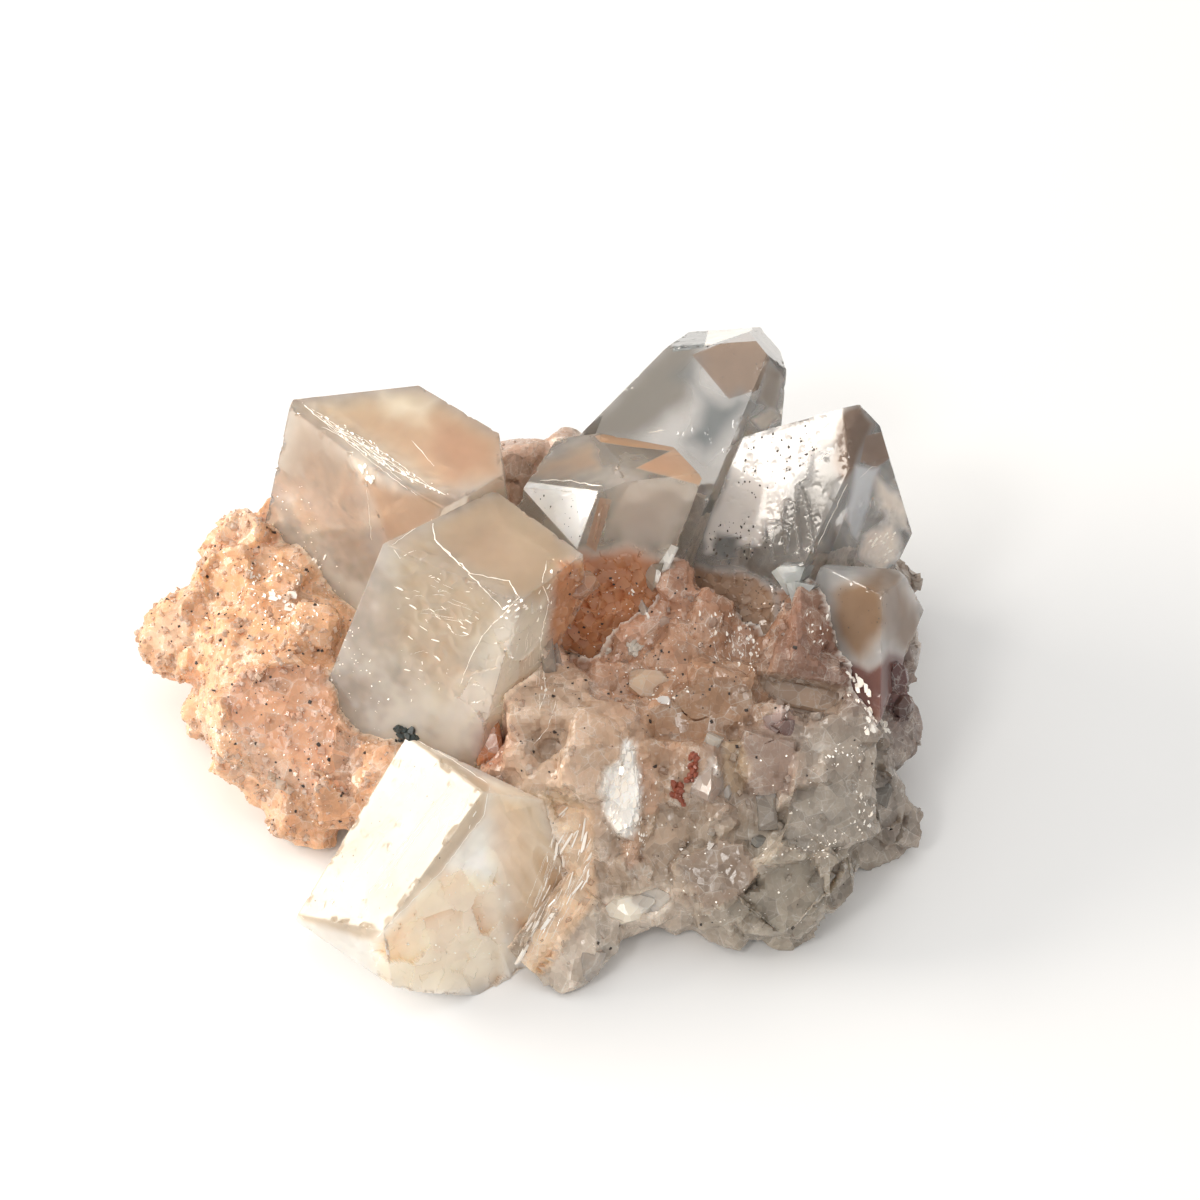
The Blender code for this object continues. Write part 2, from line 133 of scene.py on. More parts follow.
# Flat faces of small crystals in the crust: outline in the view, heading and rise of the face,
# colour, and how glassy it is.
CRUST_FACES = {
    "pale plate": ([(241, 668), (318, 664), (332, 684), (337, 745), (323, 773), (236, 734), (223, 700)],
        -98, 52, (0.87, 0.455, 0.27), 0.7),
    "edge of the plate": ([(337, 700), (352, 720), (368, 764), (350, 798), (323, 773), (337, 745)], -60,
        40, (0.80, 0.47, 0.30), 0.6),
    "band under the plate": ([(236, 738), (320, 776), (312, 796), (262, 778)], -110, 20,
        (0.78, 0.46, 0.30), 0.5),
    "shoulder block": ([(257, 497), (300, 474), (322, 510), (318, 548), (262, 545)], -112, 42,
        (0.84, 0.48, 0.29), 0.6),
    "shoulder corner": ([(233, 493), (255, 496), (252, 540), (218, 548)], -150, 38, (0.88, 0.58, 0.40),
        0.5),
    "left block": ([(193, 578), (217, 552), (247, 556), (240, 606), (196, 604)], -128, 48,
        (0.90, 0.50, 0.27), 0.5),
    "tip face": ([(142, 640), (160, 616), (186, 602), (192, 640), (168, 655)], -120, 45,
        (0.88, 0.57, 0.38), 0.4),
    "orange window": ([(470, 702), (488, 705), (506, 730), (500, 764), (474, 768)], -95, 40,
        (0.60, 0.26, 0.15), 0.8),
    "amber cap": ([(520, 792), (560, 790), (586, 806), (580, 832), (540, 830)], -75, 62,
        (0.80, 0.58, 0.38), 0.6),
    "brown slope face": ([(648, 712), (700, 678), (757, 682), (742, 722), (700, 742), (650, 738)], -95,
        56, (0.50, 0.285, 0.165), 0.9),
    "blade": ([(757, 672), (846, 688), (838, 714), (798, 712), (764, 690)], -84, 60, (0.60, 0.45, 0.34),
        0.8),
    # The two faces of the pink wedge are one crystal in two colours: painted light on the face toward the key
    # light, painted shade on the face turned away.
    "pink wedge painted lit side": ([(763, 727), (781, 703), (786, 716), (776, 731)], -140, 50, (0.92, 0.68, 0.60),
        0.7),
    "pink wedge painted shade side": ([(783, 705), (793, 718), (788, 735), (778, 731), (787, 716)], -40, 38,
        (0.52, 0.32, 0.28), 0.7),
    "mauve polygon": ([(742, 726), (797, 742), (790, 794), (752, 796), (738, 770)], -88, 48,
        (0.47, 0.33, 0.26), 0.9),
    "triangle": ([(694, 799), (712, 754), (722, 774)], -158, 50, (0.95, 0.84, 0.76), 0.8),
    "yellow edge": ([(722, 742), (740, 738), (752, 770), (740, 796), (724, 788)], -60, 45,
        (0.60, 0.42, 0.27), 0.8),
    "pink polygon": ([(676, 862), (718, 839), (746, 842), (762, 890), (704, 910)], -100, 54,
        (0.41, 0.30, 0.225), 0.9),
    "grey floor": ([(764, 870), (812, 860), (830, 905), (800, 938), (744, 932), (728, 912)], -94, 46,
        (0.50, 0.43, 0.345), 0.9),
    "round grey crystal": ([(797, 788), (836, 783), (874, 811), (861, 841), (812, 854), (783, 840)], -80,
        56, (0.50, 0.43, 0.355), 0.9),
    "quarter piece": ([(757, 796), (778, 794), (773, 823), (757, 826)], -120, 55, (0.64, 0.55, 0.47),
        0.8),
    "cliff face": ([(880, 765), (904, 785), (916, 826), (914, 846), (884, 840), (876, 800)], -62, 34,
        (0.40, 0.34, 0.29), 0.8),
    "lower cliff": ([(866, 845), (888, 860), (850, 900), (826, 912), (836, 868)], -76, 32,
        (0.42, 0.365, 0.305), 0.8),
    "slab": ([(524, 986), (598, 904), (606, 935), (592, 980), (567, 1001)], -118, 42, (0.72, 0.60, 0.49),
        0.7),
    "slab end": ([(602, 940), (634, 948), (612, 972), (574, 996)], -70, 22, (0.60, 0.52, 0.44), 0.7),
    "white piece": ([(600, 900), (671, 883), (672, 908), (643, 925), (611, 923)], -100, 64,
        (0.95, 0.80, 0.66), 0.6),
    "stain": ([(842, 664), (862, 652), (900, 655), (916, 684), (918, 716), (898, 720), (876, 690)], -62,
        40, (0.15, 0.06, 0.06), 0.5),
    "torn side": ([(556, 800), (590, 810), (597, 895), (562, 945), (532, 985), (520, 962), (548, 905)],
        -70, 42, (0.88, 0.63, 0.43), 0.3),
    # Painted highlight: the lump's near-white colour stands in for the glare of its cleavage face, which is
    # also turned towards the front light.
    "bright lump": ([(624, 738), (633, 740), (638, 760), (643, 790), (640, 815), (632, 840), (618, 836),
        (605, 815), (600, 790), (606, 768), (620, 760)], -112, 52, (1.0, 0.97, 0.92), 0.0),
    "bronze flank": ([(638, 754), (652, 765), (660, 800), (651, 830), (642, 860), (628, 870), (620, 842),
        (634, 838), (644, 812)], -58, 46, (0.64, 0.40, 0.27), 0.5),
    "warm slope": ([(640, 818), (676, 806), (690, 838), (668, 870), (640, 860)], -84, 50,
        (0.60, 0.44, 0.32), 0.7),
}

# Thin bright cleavage plates: outline in the view, how many, sizes in mm, how many times longer
# than wide, and which way they lie in the view.
CLEAVAGE_PLATES = {
    "peach sparkle": ([(240, 556), (302, 545), (336, 598), (318, 628), (250, 642), (228, 604)], 90,
        (0.15, 0.6), 1.6, (1, 0.4)),
    "peach flash": ([(270, 594), (302, 594), (300, 608), (272, 606)], 9, (0.7, 1.5), 1.6, (1, 0.15)),
    "peach flash left": ([(246, 560), (262, 566), (258, 618), (244, 600)], 12, (0.4, 1.1), 2.2, (0.1, 1)),
    "peach flash right": ([(308, 562), (330, 548), (330, 560), (312, 572)], 5, (0.6, 1.2), 2.5,
        (1, -0.7)),
    "peach glitter": ([(150, 640), (190, 590), (225, 500), (300, 478), (335, 560), (360, 640), (385, 720),
        (360, 760), (310, 840), (215, 750), (180, 670)], 420, (0.07, 0.26), 1.4, (1, 0.5)),
    "plate rim": ([(200, 690), (236, 740), (262, 790), (220, 756)], 40, (0.12, 0.35), 1.5, (0.6, 1)),
    "beside the centre crystal": ([(330, 600), (352, 610), (392, 700), (380, 715), (345, 650)], 22,
        (0.12, 0.35), 1.6, (0.6, 1)),
    "left ridge": ([(318, 412), (336, 420), (372, 440), (402, 466), (398, 476), (362, 452), (326, 424)],
        60, (0.2, 0.9), 3.5, (1, 0.62)),
    "left flash": ([(353, 459), (368, 460), (376, 480), (362, 478)], 7, (0.6, 1.3), 2.0, (1, 1.1)),
    "left ridge foot": ([(402, 468), (450, 492), (448, 500), (400, 480)], 18, (0.2, 0.7), 3.0, (1, 0.5)),
    "bright corner": ([(500, 604), (520, 597), (530, 612), (512, 620), (498, 616)], 16, (0.3, 0.9), 1.6,
        (1, -0.3)),
    "torn fan": ([(395, 585), (440, 570), (500, 596), (492, 622), (448, 660), (415, 700), (398, 640)], 34,
        (0.3, 1.3), 9.0, (1, 0.45)),
    "clouded foot": ([(395, 660), (450, 660), (448, 700), (418, 712), (396, 690)], 9, (0.2, 0.7), 5.0,
        (0.4, 1)),
    "right rim of the centre": ([(541, 560), (552, 566), (552, 640), (558, 700), (540, 690), (536, 610)],
        30, (0.15, 0.8), 3.5, (0.05, 1)),
    "pocket flash": ([(627, 590), (634, 588), (652, 616), (645, 618)], 6, (0.5, 1.1), 3.0, (0.6, 1)),
    "pocket glitter": ([(570, 560), (690, 575), (700, 700), (600, 700)], 110, (0.08, 0.3), 1.5, (1, 0.4)),
    "pocket floor": ([(625, 668), (672, 664), (690, 690), (665, 706), (628, 700)], 40, (0.15, 0.55), 2.0,
        (1, 0.3)),
    "veined patch": ([(697, 612), (740, 610), (762, 640), (756, 672), (715, 660)], 85, (0.15, 0.7), 2.0,
        (0.7, 1)),
    "pink shoulder": ([(803, 612), (830, 605), (838, 640), (815, 660)], 18, (0.25, 0.9), 2.2, (0.6, -1)),
    "bright leaf": ([(840, 676), (856, 674), (870, 690), (884, 730), (868, 734), (852, 712)], 34,
        (0.4, 1.4), 2.0, (0.5, 1)),
    "bright leaf end": ([(880, 720), (893, 728), (892, 738), (882, 736)], 5, (0.5, 1.0), 1.4, (1, 0.4)),
    "bright lump": ([(622, 745), (632, 742), (640, 775), (640, 815), (628, 836), (604, 812), (602, 784)],
        50, (0.4, 1.5), 1.7, (0.25, 1)),
    "bronze flank": ([(598, 790), (640, 755), (656, 775), (656, 815), (640, 862), (622, 862), (604, 826)],
        90, (0.15, 0.7), 2.2, (0.25, 1)),
    "torn streaks": ([(560, 812), (596, 830), (588, 880), (548, 948), (520, 960), (536, 890)], 44,
        (0.8, 3.2), 9.5, (-0.42, 1)),
    "front glitter": ([(430, 860), (520, 880), (520, 980), (400, 960)], 60, (0.12, 0.5), 2.0, (1, 0.4)),
    "face hairs": ([(400, 745), (484, 790), (470, 830), (360, 930), (290, 905), (330, 850)], 40,
        (0.2, 0.8), 5.0, (0.5, -1)),
    "silver foot": ([(868, 535), (894, 530), (896, 560), (878, 566)], 26, (0.2, 0.8), 1.6, (1, -0.6)),
    "grey glitter": ([(690, 760), (900, 740), (910, 850), (800, 930), (650, 920), (640, 860)], 150,
        (0.08, 0.4), 1.8, (1, 0.3)),
    "round crystal rim": ([(856, 790), (876, 806), (868, 836), (852, 846)], 26, (0.15, 0.6), 1.5,
        (0.4, 1)),
    "grey spangle": ([(796, 846), (842, 838), (838, 856), (800, 862)], 30, (0.15, 0.5), 2.0, (1, -0.2)),
    "spangle by the blade": ([(826, 742), (866, 744), (868, 760), (830, 768)], 24, (0.15, 0.5), 1.8,
        (1, 0.2)),
    "white piece sheen": ([(604, 900), (668, 886), (668, 908), (640, 922)], 22, (0.2, 0.7), 2.0,
        (1, -0.2)),
}

# Hairline cracks on the big crystals: points in the view and width in mm.
HAIRLINES = [
    ([(432, 519), (435, 540), (452, 556), (470, 573), (509, 581), (519, 600)], 0.13),
    ([(391, 546), (412, 530), (433, 519)], 0.08),
    ([(391, 546), (400, 558), (409, 553), (420, 548)], 0.08),
    ([(435, 540), (466, 571), (500, 606), (506, 614)], 0.14),
    ([(509, 581), (519, 598), (504, 613), (482, 636), (470, 659), (458, 690)], 0.10),
    ([(547, 561), (542, 582), (549, 602), (540, 642), (546, 690), (538, 716)], 0.09),
    ([(302, 403), (318, 417), (336, 430), (366, 446), (394, 470), (437, 490), (450, 498)], 0.12),
    ([(322, 426), (348, 440), (380, 463), (398, 474)], 0.08),
    ([(412, 441), (425, 455), (438, 470)], 0.06),
    ([(366, 482), (372, 545)], 0.05),
    ([(540, 480), (572, 481), (606, 487)], 0.12),
    ([(532, 482), (556, 486), (596, 491)], 0.06),
    ([(649, 432), (656, 431), (668, 429)], 0.12),
    ([(413, 738), (456, 762), (490, 785)], 0.10),
    ([(490, 785), (484, 815), (442, 871), (374, 940)], 0.08),
    ([(455, 800), (440, 812), (436, 838)], 0.05),
    ([(470, 792), (462, 815), (448, 822), (440, 850)], 0.05),
    ([(556, 700), (548, 728), (530, 748)], 0.07),
    ([(860, 478), (872, 467), (880, 466)], 0.05),
    ([(847, 484), (833, 514), (816, 549)], 0.08),
]

# Feathers of fine cracks: where they start, where they end, how many, and width in mm.
FEATHERS = [
    ([(498, 594), (470, 640)], [(430, 556), (404, 640)], 13, 0.032),
    ([(470, 590), (462, 660)], [(402, 590), (398, 680)], 7, 0.028),
    ([(520, 620), (548, 640)], [(510, 700), (552, 730)], 10, 0.036),
    ([(306, 404), (312, 412)], [(446, 494), (420, 500)], 12, 0.055),
    ([(560, 815), (596, 850)], [(500, 975), (545, 950)], 34, 0.05),
    ([(420, 760), (484, 800)], [(330, 880), (400, 910)], 14, 0.04),
    ([(706, 620), (760, 640)], [(720, 668), (756, 676)], 18, 0.05),
    ([(770, 680), (836, 690)], [(780, 700), (836, 710)], 10, 0.04),
]

# The big crystals: slot, tint, range of haze, range of roughness, and absorption colour and density.
CRYSTAL_LOOKS = {
    "rear_point": ("smoky_crystal", "smoky", (0.05, 0.14), (0.02, 0.08), (0.78, 0.76, 0.73), 10),
    "right_block": ("smoky_crystal", "smoky", (0.02, 0.12), (0.02, 0.08), (0.82, 0.80, 0.78), 6),
    "middle_crystal": ("clear_crystal", "clear", (0.08, 0.22), (0.03, 0.12), (0.92, 0.84, 0.76), 3),
    "left_crystal": ("clear_crystal", "clear", (0.22, 0.42), (0.04, 0.16), (0.92, 0.80, 0.68), 6),
    "centre_crystal": ("clear_crystal", "clear", (0.22, 0.42), (0.04, 0.15), (0.92, 0.80, 0.68), 6),
    "front_block": ("cream_crystal", "cream", (0.80, 0.95), (0.12, 0.28), (0.95, 0.86, 0.74), 4),
    "dome_crystal": ("peach_crystal", "smoky", (0.40, 0.60), (0.08, 0.25), (0.80, 0.66, 0.54), 20),
}

# Parts of the big crystals that look different: outline in the view, colour, haze and edge width.
CRYSTAL_PATCHES = {
    "rear_point": [
        ([(560, 450), (676, 330), (700, 345), (690, 400), (640, 440)], (0.27, 0.245, 0.21), 0.14, 14),
        ([(672, 352), (677, 331), (706, 329), (708, 347)], (0.30, 0.33, 0.34), 0.30, 3),
        ([(704, 347), (709, 328), (754, 324), (751, 331)], (1.0, 0.97, 0.90), 1.0, 2),
        ([(692, 355), (749, 332), (771, 356), (758, 390), (729, 399)], (0.38, 0.265, 0.195), 0.40, 3),
        ([(697, 362), (677, 376), (728, 401), (741, 394), (753, 405), (731, 435), (706, 458), (684, 440),
            (700, 405)], (0.24, 0.265, 0.28), 0.50, 16),
        ([(751, 331), (786, 367), (784, 378), (768, 356)], (0.30, 0.30, 0.29), 0.15, 2),
        ([(757, 400), (768, 362), (783, 372), (775, 410)], (0.60, 0.52, 0.45), 0.50, 5),
        ([(752, 420), (770, 408), (780, 418), (764, 430)], (1.0, 0.95, 0.88), 0.9, 4),
    ],
    "right_block": [
        # Painted shade: the narrow strip beside the rear point is greyed as the side of the block that lies
        # in shadow.
        ([(730, 440), (745, 436), (703, 525), (698, 540), (700, 508)], (0.55, 0.56, 0.56), 0.25, 2),
        # The silver face: its own etched face, made bright and silvery as a painted reflection of the pale
        # surroundings.
        ([(745, 436), (846, 406), (852, 430), (800, 470), (760, 545), (703, 552), (702, 537)],
            (1.10, 1.05, 1.02), 0.64, 6),
        ([(766, 560), (775, 520), (800, 480), (836, 452), (846, 476), (815, 550)], (0.38, 0.37, 0.35),
            0.32, 12),
        ([(712, 545), (718, 535), (740, 538), (736, 560), (716, 560)], (0.40, 0.42, 0.43), 0.35, 5),
        ([(832, 428), (846, 408), (862, 402), (873, 425), (856, 470), (846, 486), (834, 470)],
            (0.28, 0.19, 0.14), 0.50, 5),
        ([(866, 436), (889, 430), (893, 456), (876, 468), (860, 462)], (0.38, 0.27, 0.21), 0.50, 3),
        ([(856, 466), (880, 467), (858, 540), (846, 520)], (0.84, 0.88, 0.94), 0.55, 4),
        ([(866, 535), (895, 520), (900, 560), (880, 575), (862, 560)], (1.0, 0.90, 0.82), 0.85, 6),
        ([(880, 480), (905, 500), (912, 535), (896, 520), (878, 510)], (1.12, 1.0, 0.90), 0.66, 8),
        ([(690, 566), (745, 572), (775, 585), (775, 640), (690, 640)], (0.46, 0.31, 0.22), 0.85, 7),
        ([(776, 588), (850, 590), (850, 640), (776, 640)], (0.44, 0.26, 0.18), 0.85, 6),
    ],
    "middle_crystal": [
        ([(594, 436), (612, 432), (680, 445), (680, 452), (625, 446), (600, 442)], (0.80, 0.50, 0.33),
            0.60, 2),
        ([(636, 468), (680, 446), (704, 475), (702, 486)], (0.82, 0.55, 0.40), 0.60, 2),
        # Painted reflection: the bright triangle of the middle crystal is painted pale, bluish and nearly
        # opaque where its face mirrors the light.
        ([(515, 480), (598, 491), (577, 549)], (1.02, 1.10, 1.18), 0.95, 2),
        ([(506, 477), (592, 441), (600, 470), (545, 478)], (0.82, 0.64, 0.50), 0.35, 10),
        ([(600, 497), (612, 500), (596, 552), (586, 545)], (0.66, 0.47, 0.36), 0.40, 3),
        ([(615, 470), (690, 490), (670, 540), (630, 545), (612, 520)], (0.80, 0.76, 0.74), 0.42, 14),
        ([(560, 556), (640, 548), (700, 590), (700, 720), (540, 720)], (0.54, 0.26, 0.14), 0.92, 10),
    ],
    "left_crystal": [
        ([(302, 402), (420, 388), (475, 416), (500, 440), (500, 470), (437, 484), (366, 440)],
            (1.02, 0.79, 0.62), 0.50, 22),
        ([(382, 396), (432, 402), (425, 420), (388, 416)], (1.0, 0.93, 0.83), 0.75, 14),
        ([(440, 420), (500, 436), (502, 476), (455, 482), (430, 450)], (0.82, 0.57, 0.43), 0.50, 20),
        ([(295, 410), (330, 430), (366, 480), (372, 545), (340, 550), (320, 500), (274, 480)],
            (0.60, 0.52, 0.45), 0.40, 18),
        # Painted highlight: the small bright flash on the left crystal's face.
        ([(350, 455), (366, 459), (378, 482), (362, 478)], (1.0, 0.92, 0.84), 0.80, 7),
        ([(366, 484), (450, 500), (430, 525), (385, 548)], (0.66, 0.49, 0.36), 0.45, 9),
    ],
    "centre_crystal": [
        ([(436, 518), (494, 491), (515, 494), (574, 551), (540, 600), (519, 600), (470, 572), (435, 540)],
            (0.92, 0.76, 0.60), 0.38, 12),
        ([(395, 545), (433, 522), (440, 545), (500, 590), (503, 613), (470, 659), (440, 700), (395, 640)],
            (1.0, 0.90, 0.78), 0.38, 26),
        ([(505, 615), (545, 600), (552, 660), (520, 730), (480, 700), (485, 640)], (1.04, 1.0, 0.96),
            0.62, 18),
        ([(556, 560), (640, 550), (640, 720), (552, 720), (548, 640)], (0.54, 0.28, 0.16), 0.92, 8),
    ],
    "front_block": [
        ([(413, 737), (490, 784), (484, 815), (442, 871), (372, 941), (278, 913), (316, 848), (350, 801)],
            (0.62, 0.555, 0.47), 0.90, 4),
        ([(490, 784), (557, 792), (590, 805), (597, 899), (520, 940), (500, 880)], (0.92, 0.74, 0.57),
            0.92, 20),
        ([(372, 941), (442, 871), (500, 880), (515, 985), (430, 1000), (380, 985)], (0.97, 0.86, 0.74),
            0.92, 10),
    ],
    "dome_crystal": [
        ([(831, 592), (886, 565), (890, 620), (860, 665), (835, 640)], (0.38, 0.26, 0.175), 0.75, 12),
        ([(886, 568), (897, 575), (926, 626), (912, 662), (888, 640)], (0.40, 0.27, 0.18), 0.55, 14),
        ([(836, 660), (866, 668), (890, 652), (914, 660), (926, 700), (900, 770), (836, 770)],
            (0.20, 0.10, 0.09), 0.92, 6),
    ],
}

# Thin raised lines on the crystals' faces: points in the view, width in pixels and height in mm.
CRYSTAL_RIDGES = {
    "right_block": [
        ([(812, 452), (808, 480), (798, 486), (797, 520), (801, 556)], 2.6, 0.20),
        ([(800, 484), (806, 500), (812, 530), (814, 552)], 2.2, 0.18),
        ([(786, 500), (783, 520), (788, 540), (786, 552)], 2.4, 0.15),
        ([(766, 540), (764, 520), (778, 522), (790, 526)], 2.4, 0.16),
        ([(752, 540), (750, 556)], 2.4, 0.16),
        ([(770, 548), (772, 562)], 2.0, 0.15),
        ([(712, 538), (735, 536), (745, 540)], 2.4, 0.15),
    ],
    "middle_crystal": [
        ([(602, 508), (594, 541)], 1.6, 0.14),
        ([(608, 506), (600, 545)], 1.6, 0.14),
    ],
}

# Small crystals that stand out in the view: shape, place in the view, size in mm, heading and rise
# of the top face, which way the length lies in the view, how deep it sits in mm, colour, glassiness.
STANDING_CRYSTALS = {
    "slim crystal": ("bar", 547, 648, (6.4, 1.5, 1.4), (-96, 44), (0.10, 1), 0.6, (0.84, 0.72, 0.60),
        1.0),
    "second slim crystal": ("bar", 557, 662, (4.2, 1.1, 1.2), (-80, 40), (0.25, 1), 0.5,
        (0.80, 0.66, 0.54), 1.0),
    "white piece": ("lozenge", 629, 907, (6.0, 3.2, 2.6), (-104, 60), (1, -0.22), 0.8, (0.96, 0.80, 0.64),
        0.35),
    "end of the white piece": ("lozenge", 651, 899, (4.2, 3.0, 2.6), (-96, 60), (1, -0.10), 0.8,
        (0.94, 0.80, 0.67), 0.6),
    "blade": ("bar", 803, 696, (9.6, 3.0, 2.4), (-90, 58), (1, 0.22), 0.55, (0.60, 0.43, 0.32), 0.6),
    # The pink wedge and the piece after it are one crystal in two colours: the lighter one has painted light,
    # the darker one painted shade for the side away from the key light.
    "pink wedge": ("wedge", 779, 718, (3.4, 2.4, 2.4), (-128, 46), (1, -0.9), 0.5, (0.72, 0.50, 0.44),
        0.7),
    "painted shade side of the pink wedge": ("wedge", 789, 724, (3.0, 2.2, 2.2), (-40, 40), (1, -0.7), 0.6,
        (0.40, 0.25, 0.22), 0.7),
    "shining triangle": ("wedge", 708, 778, (4.6, 2.4, 2.4), (-144, 54), (0.42, -1), 0.7,
        (0.66, 0.52, 0.44), 0.7),
    "small triangle": ("wedge", 727, 790, (2.2, 1.1, 1.2), (-120, 50), (0.3, -1), 0.3, (0.82, 0.72, 0.64),
        0.7),
    "quarter piece": ("bar", 767, 812, (4.0, 2.2, 1.6), (-116, 56), (0.1, 1), 0.45, (0.54, 0.47, 0.40),
        0.9),
    "crystal with a dark eye": ("lozenge", 761, 843, (2.2, 1.8, 1.6), (-95, 60), (1, 0.2), 0.5,
        (0.52, 0.48, 0.42), 0.9),
    "left glassy wedge": ("wedge", 796, 572, (4.6, 3.2, 2.4), (-100, 50), (1, -0.7), 0.8,
        (0.84, 0.86, 0.82), 0.8),
    "lower glassy wedge": ("wedge", 806, 588, (4.0, 2.2, 1.8), (-92, 54), (1, -0.3), 0.7,
        (0.80, 0.81, 0.77), 0.8),
    "foot of the middle crystal": ("wedge", 657, 569, (4.2, 3.2, 3.0), (-118, 46), (1, -0.8), 0.9,
        (0.80, 0.66, 0.50), 0.9),
    "shining foot": ("flake", 665, 558, (3.4, 2.2, 2.0), (-154, 50), (0.45, -1), -0.05, (1.0, 0.93, 0.82),
        0.3),
    "rounded tip": ("lozenge", 583, 586, (3.4, 2.4, 2.2), (-84, 48), (1, -0.7), 0.6, (0.62, 0.36, 0.23),
        0.8),
    "tip below the plate": ("prism", 281, 784, (1.3, 1.2, 1.7), (-110, 20), (0.3, -1), 0.2,
        (0.90, 0.66, 0.50), 0.7),
    "second tip below": ("prism", 290, 790, (1.0, 1.0, 1.4), (-100, 15), (0.6, -1), 0.2,
        (0.88, 0.60, 0.43), 0.7),
    "third tip below": ("prism", 272, 776, (1.1, 1.0, 1.5), (-120, 18), (0.5, -1), 0.2,
        (0.90, 0.64, 0.46), 0.7),
    "slab corner": ("wedge", 588, 968, (4.2, 2.0, 1.8), (-130, 44), (-0.35, 1), 0.5, (0.74, 0.63, 0.54),
        0.8),
    "stained lump": ("lozenge", 896, 678, (3.6, 3.0, 3.0), (-56, 38), (0.3, 1), 0.7, (0.15, 0.075, 0.07),
        0.6),
    "lower stained lump": ("lozenge", 903, 708, (3.0, 2.6, 2.6), (-60, 34), (0.1, 1), 0.7,
        (0.20, 0.12, 0.105), 0.6),
    "rust block by the hollow": ("bar", 487, 742, (5.0, 3.2, 2.6), (-98, 46), (0.15, 1), 1.2,
        (0.70, 0.29, 0.14), 0.6),
    "block in the pocket": ("lozenge", 652, 686, (5.2, 3.6, 3.0), (-90, 52), (1, 0.1), 1.3,
        (0.86, 0.60, 0.43), 0.6),
    "bright corner of the block": ("flake", 664, 700, (1.6, 0.9, 1.4), (-150, 50), (1, 0.2), 0.0,
        (1.0, 0.92, 0.84), 0.3),
    "shard in the pocket": ("bar", 642, 606, (3.6, 0.8, 0.9), (-140, 50), (0.55, 1), 0.2,
        (0.92, 0.78, 0.66), 0.8),
    "cream point on the slope": ("prism", 712, 742, (1.8, 1.4, 1.6), (-110, 40), (1, 0.4), 0.4,
        (0.84, 0.72, 0.60), 0.8),
    "grey point on the cliff": ("wedge", 884, 800, (3.4, 2.4, 2.0), (-70, 36), (0.4, 1), 0.6,
        (0.44, 0.40, 0.35), 0.9),
    "grey point in the bay": ("prism", 822, 880, (2.6, 2.0, 2.0), (-90, 46), (0.7, -1), 0.6,
        (0.50, 0.44, 0.37), 0.9),
}

# Dark specks in and on the faces: outline in the view, how many, and sizes in mm.
SPECKLED = {
    "top of the silver face": ([(752, 440), (806, 424), (822, 452), (786, 478), (752, 500), (736, 480)],
        90, (0.08, 0.34)),
    "foot of the silver face": ([(704, 524), (752, 516), (770, 546), (742, 562), (704, 552)], 60,
        (0.08, 0.40)),
    "mirror of the middle crystal": ([(522, 484), (594, 493), (577, 545)], 22, (0.07, 0.22)),
    "shining foot": ([(652, 548), (674, 544), (668, 572), (656, 578)], 6, (0.07, 0.2)),
    "bright face": ([(400, 750), (476, 792), (440, 860), (376, 930), (292, 908)], 36, (0.06, 0.18)),
    "foot of the centre crystal": ([(500, 640), (560, 620), (570, 740), (500, 760)], 26, (0.07, 0.26)),
    "pocket": ([(560, 570), (700, 570), (720, 700), (570, 700)], 130, (0.08, 0.34)),
    "round brown crystal": ([(738, 580), (775, 575), (792, 620), (745, 640)], 46, (0.08, 0.24)),
    "dome": ([(836, 590), (886, 568), (892, 620), (850, 640)], 26, (0.07, 0.2)),
    "top of the rear point": ([(682, 350), (740, 335), (764, 362), (730, 392)], 14, (0.07, 0.2)),
}

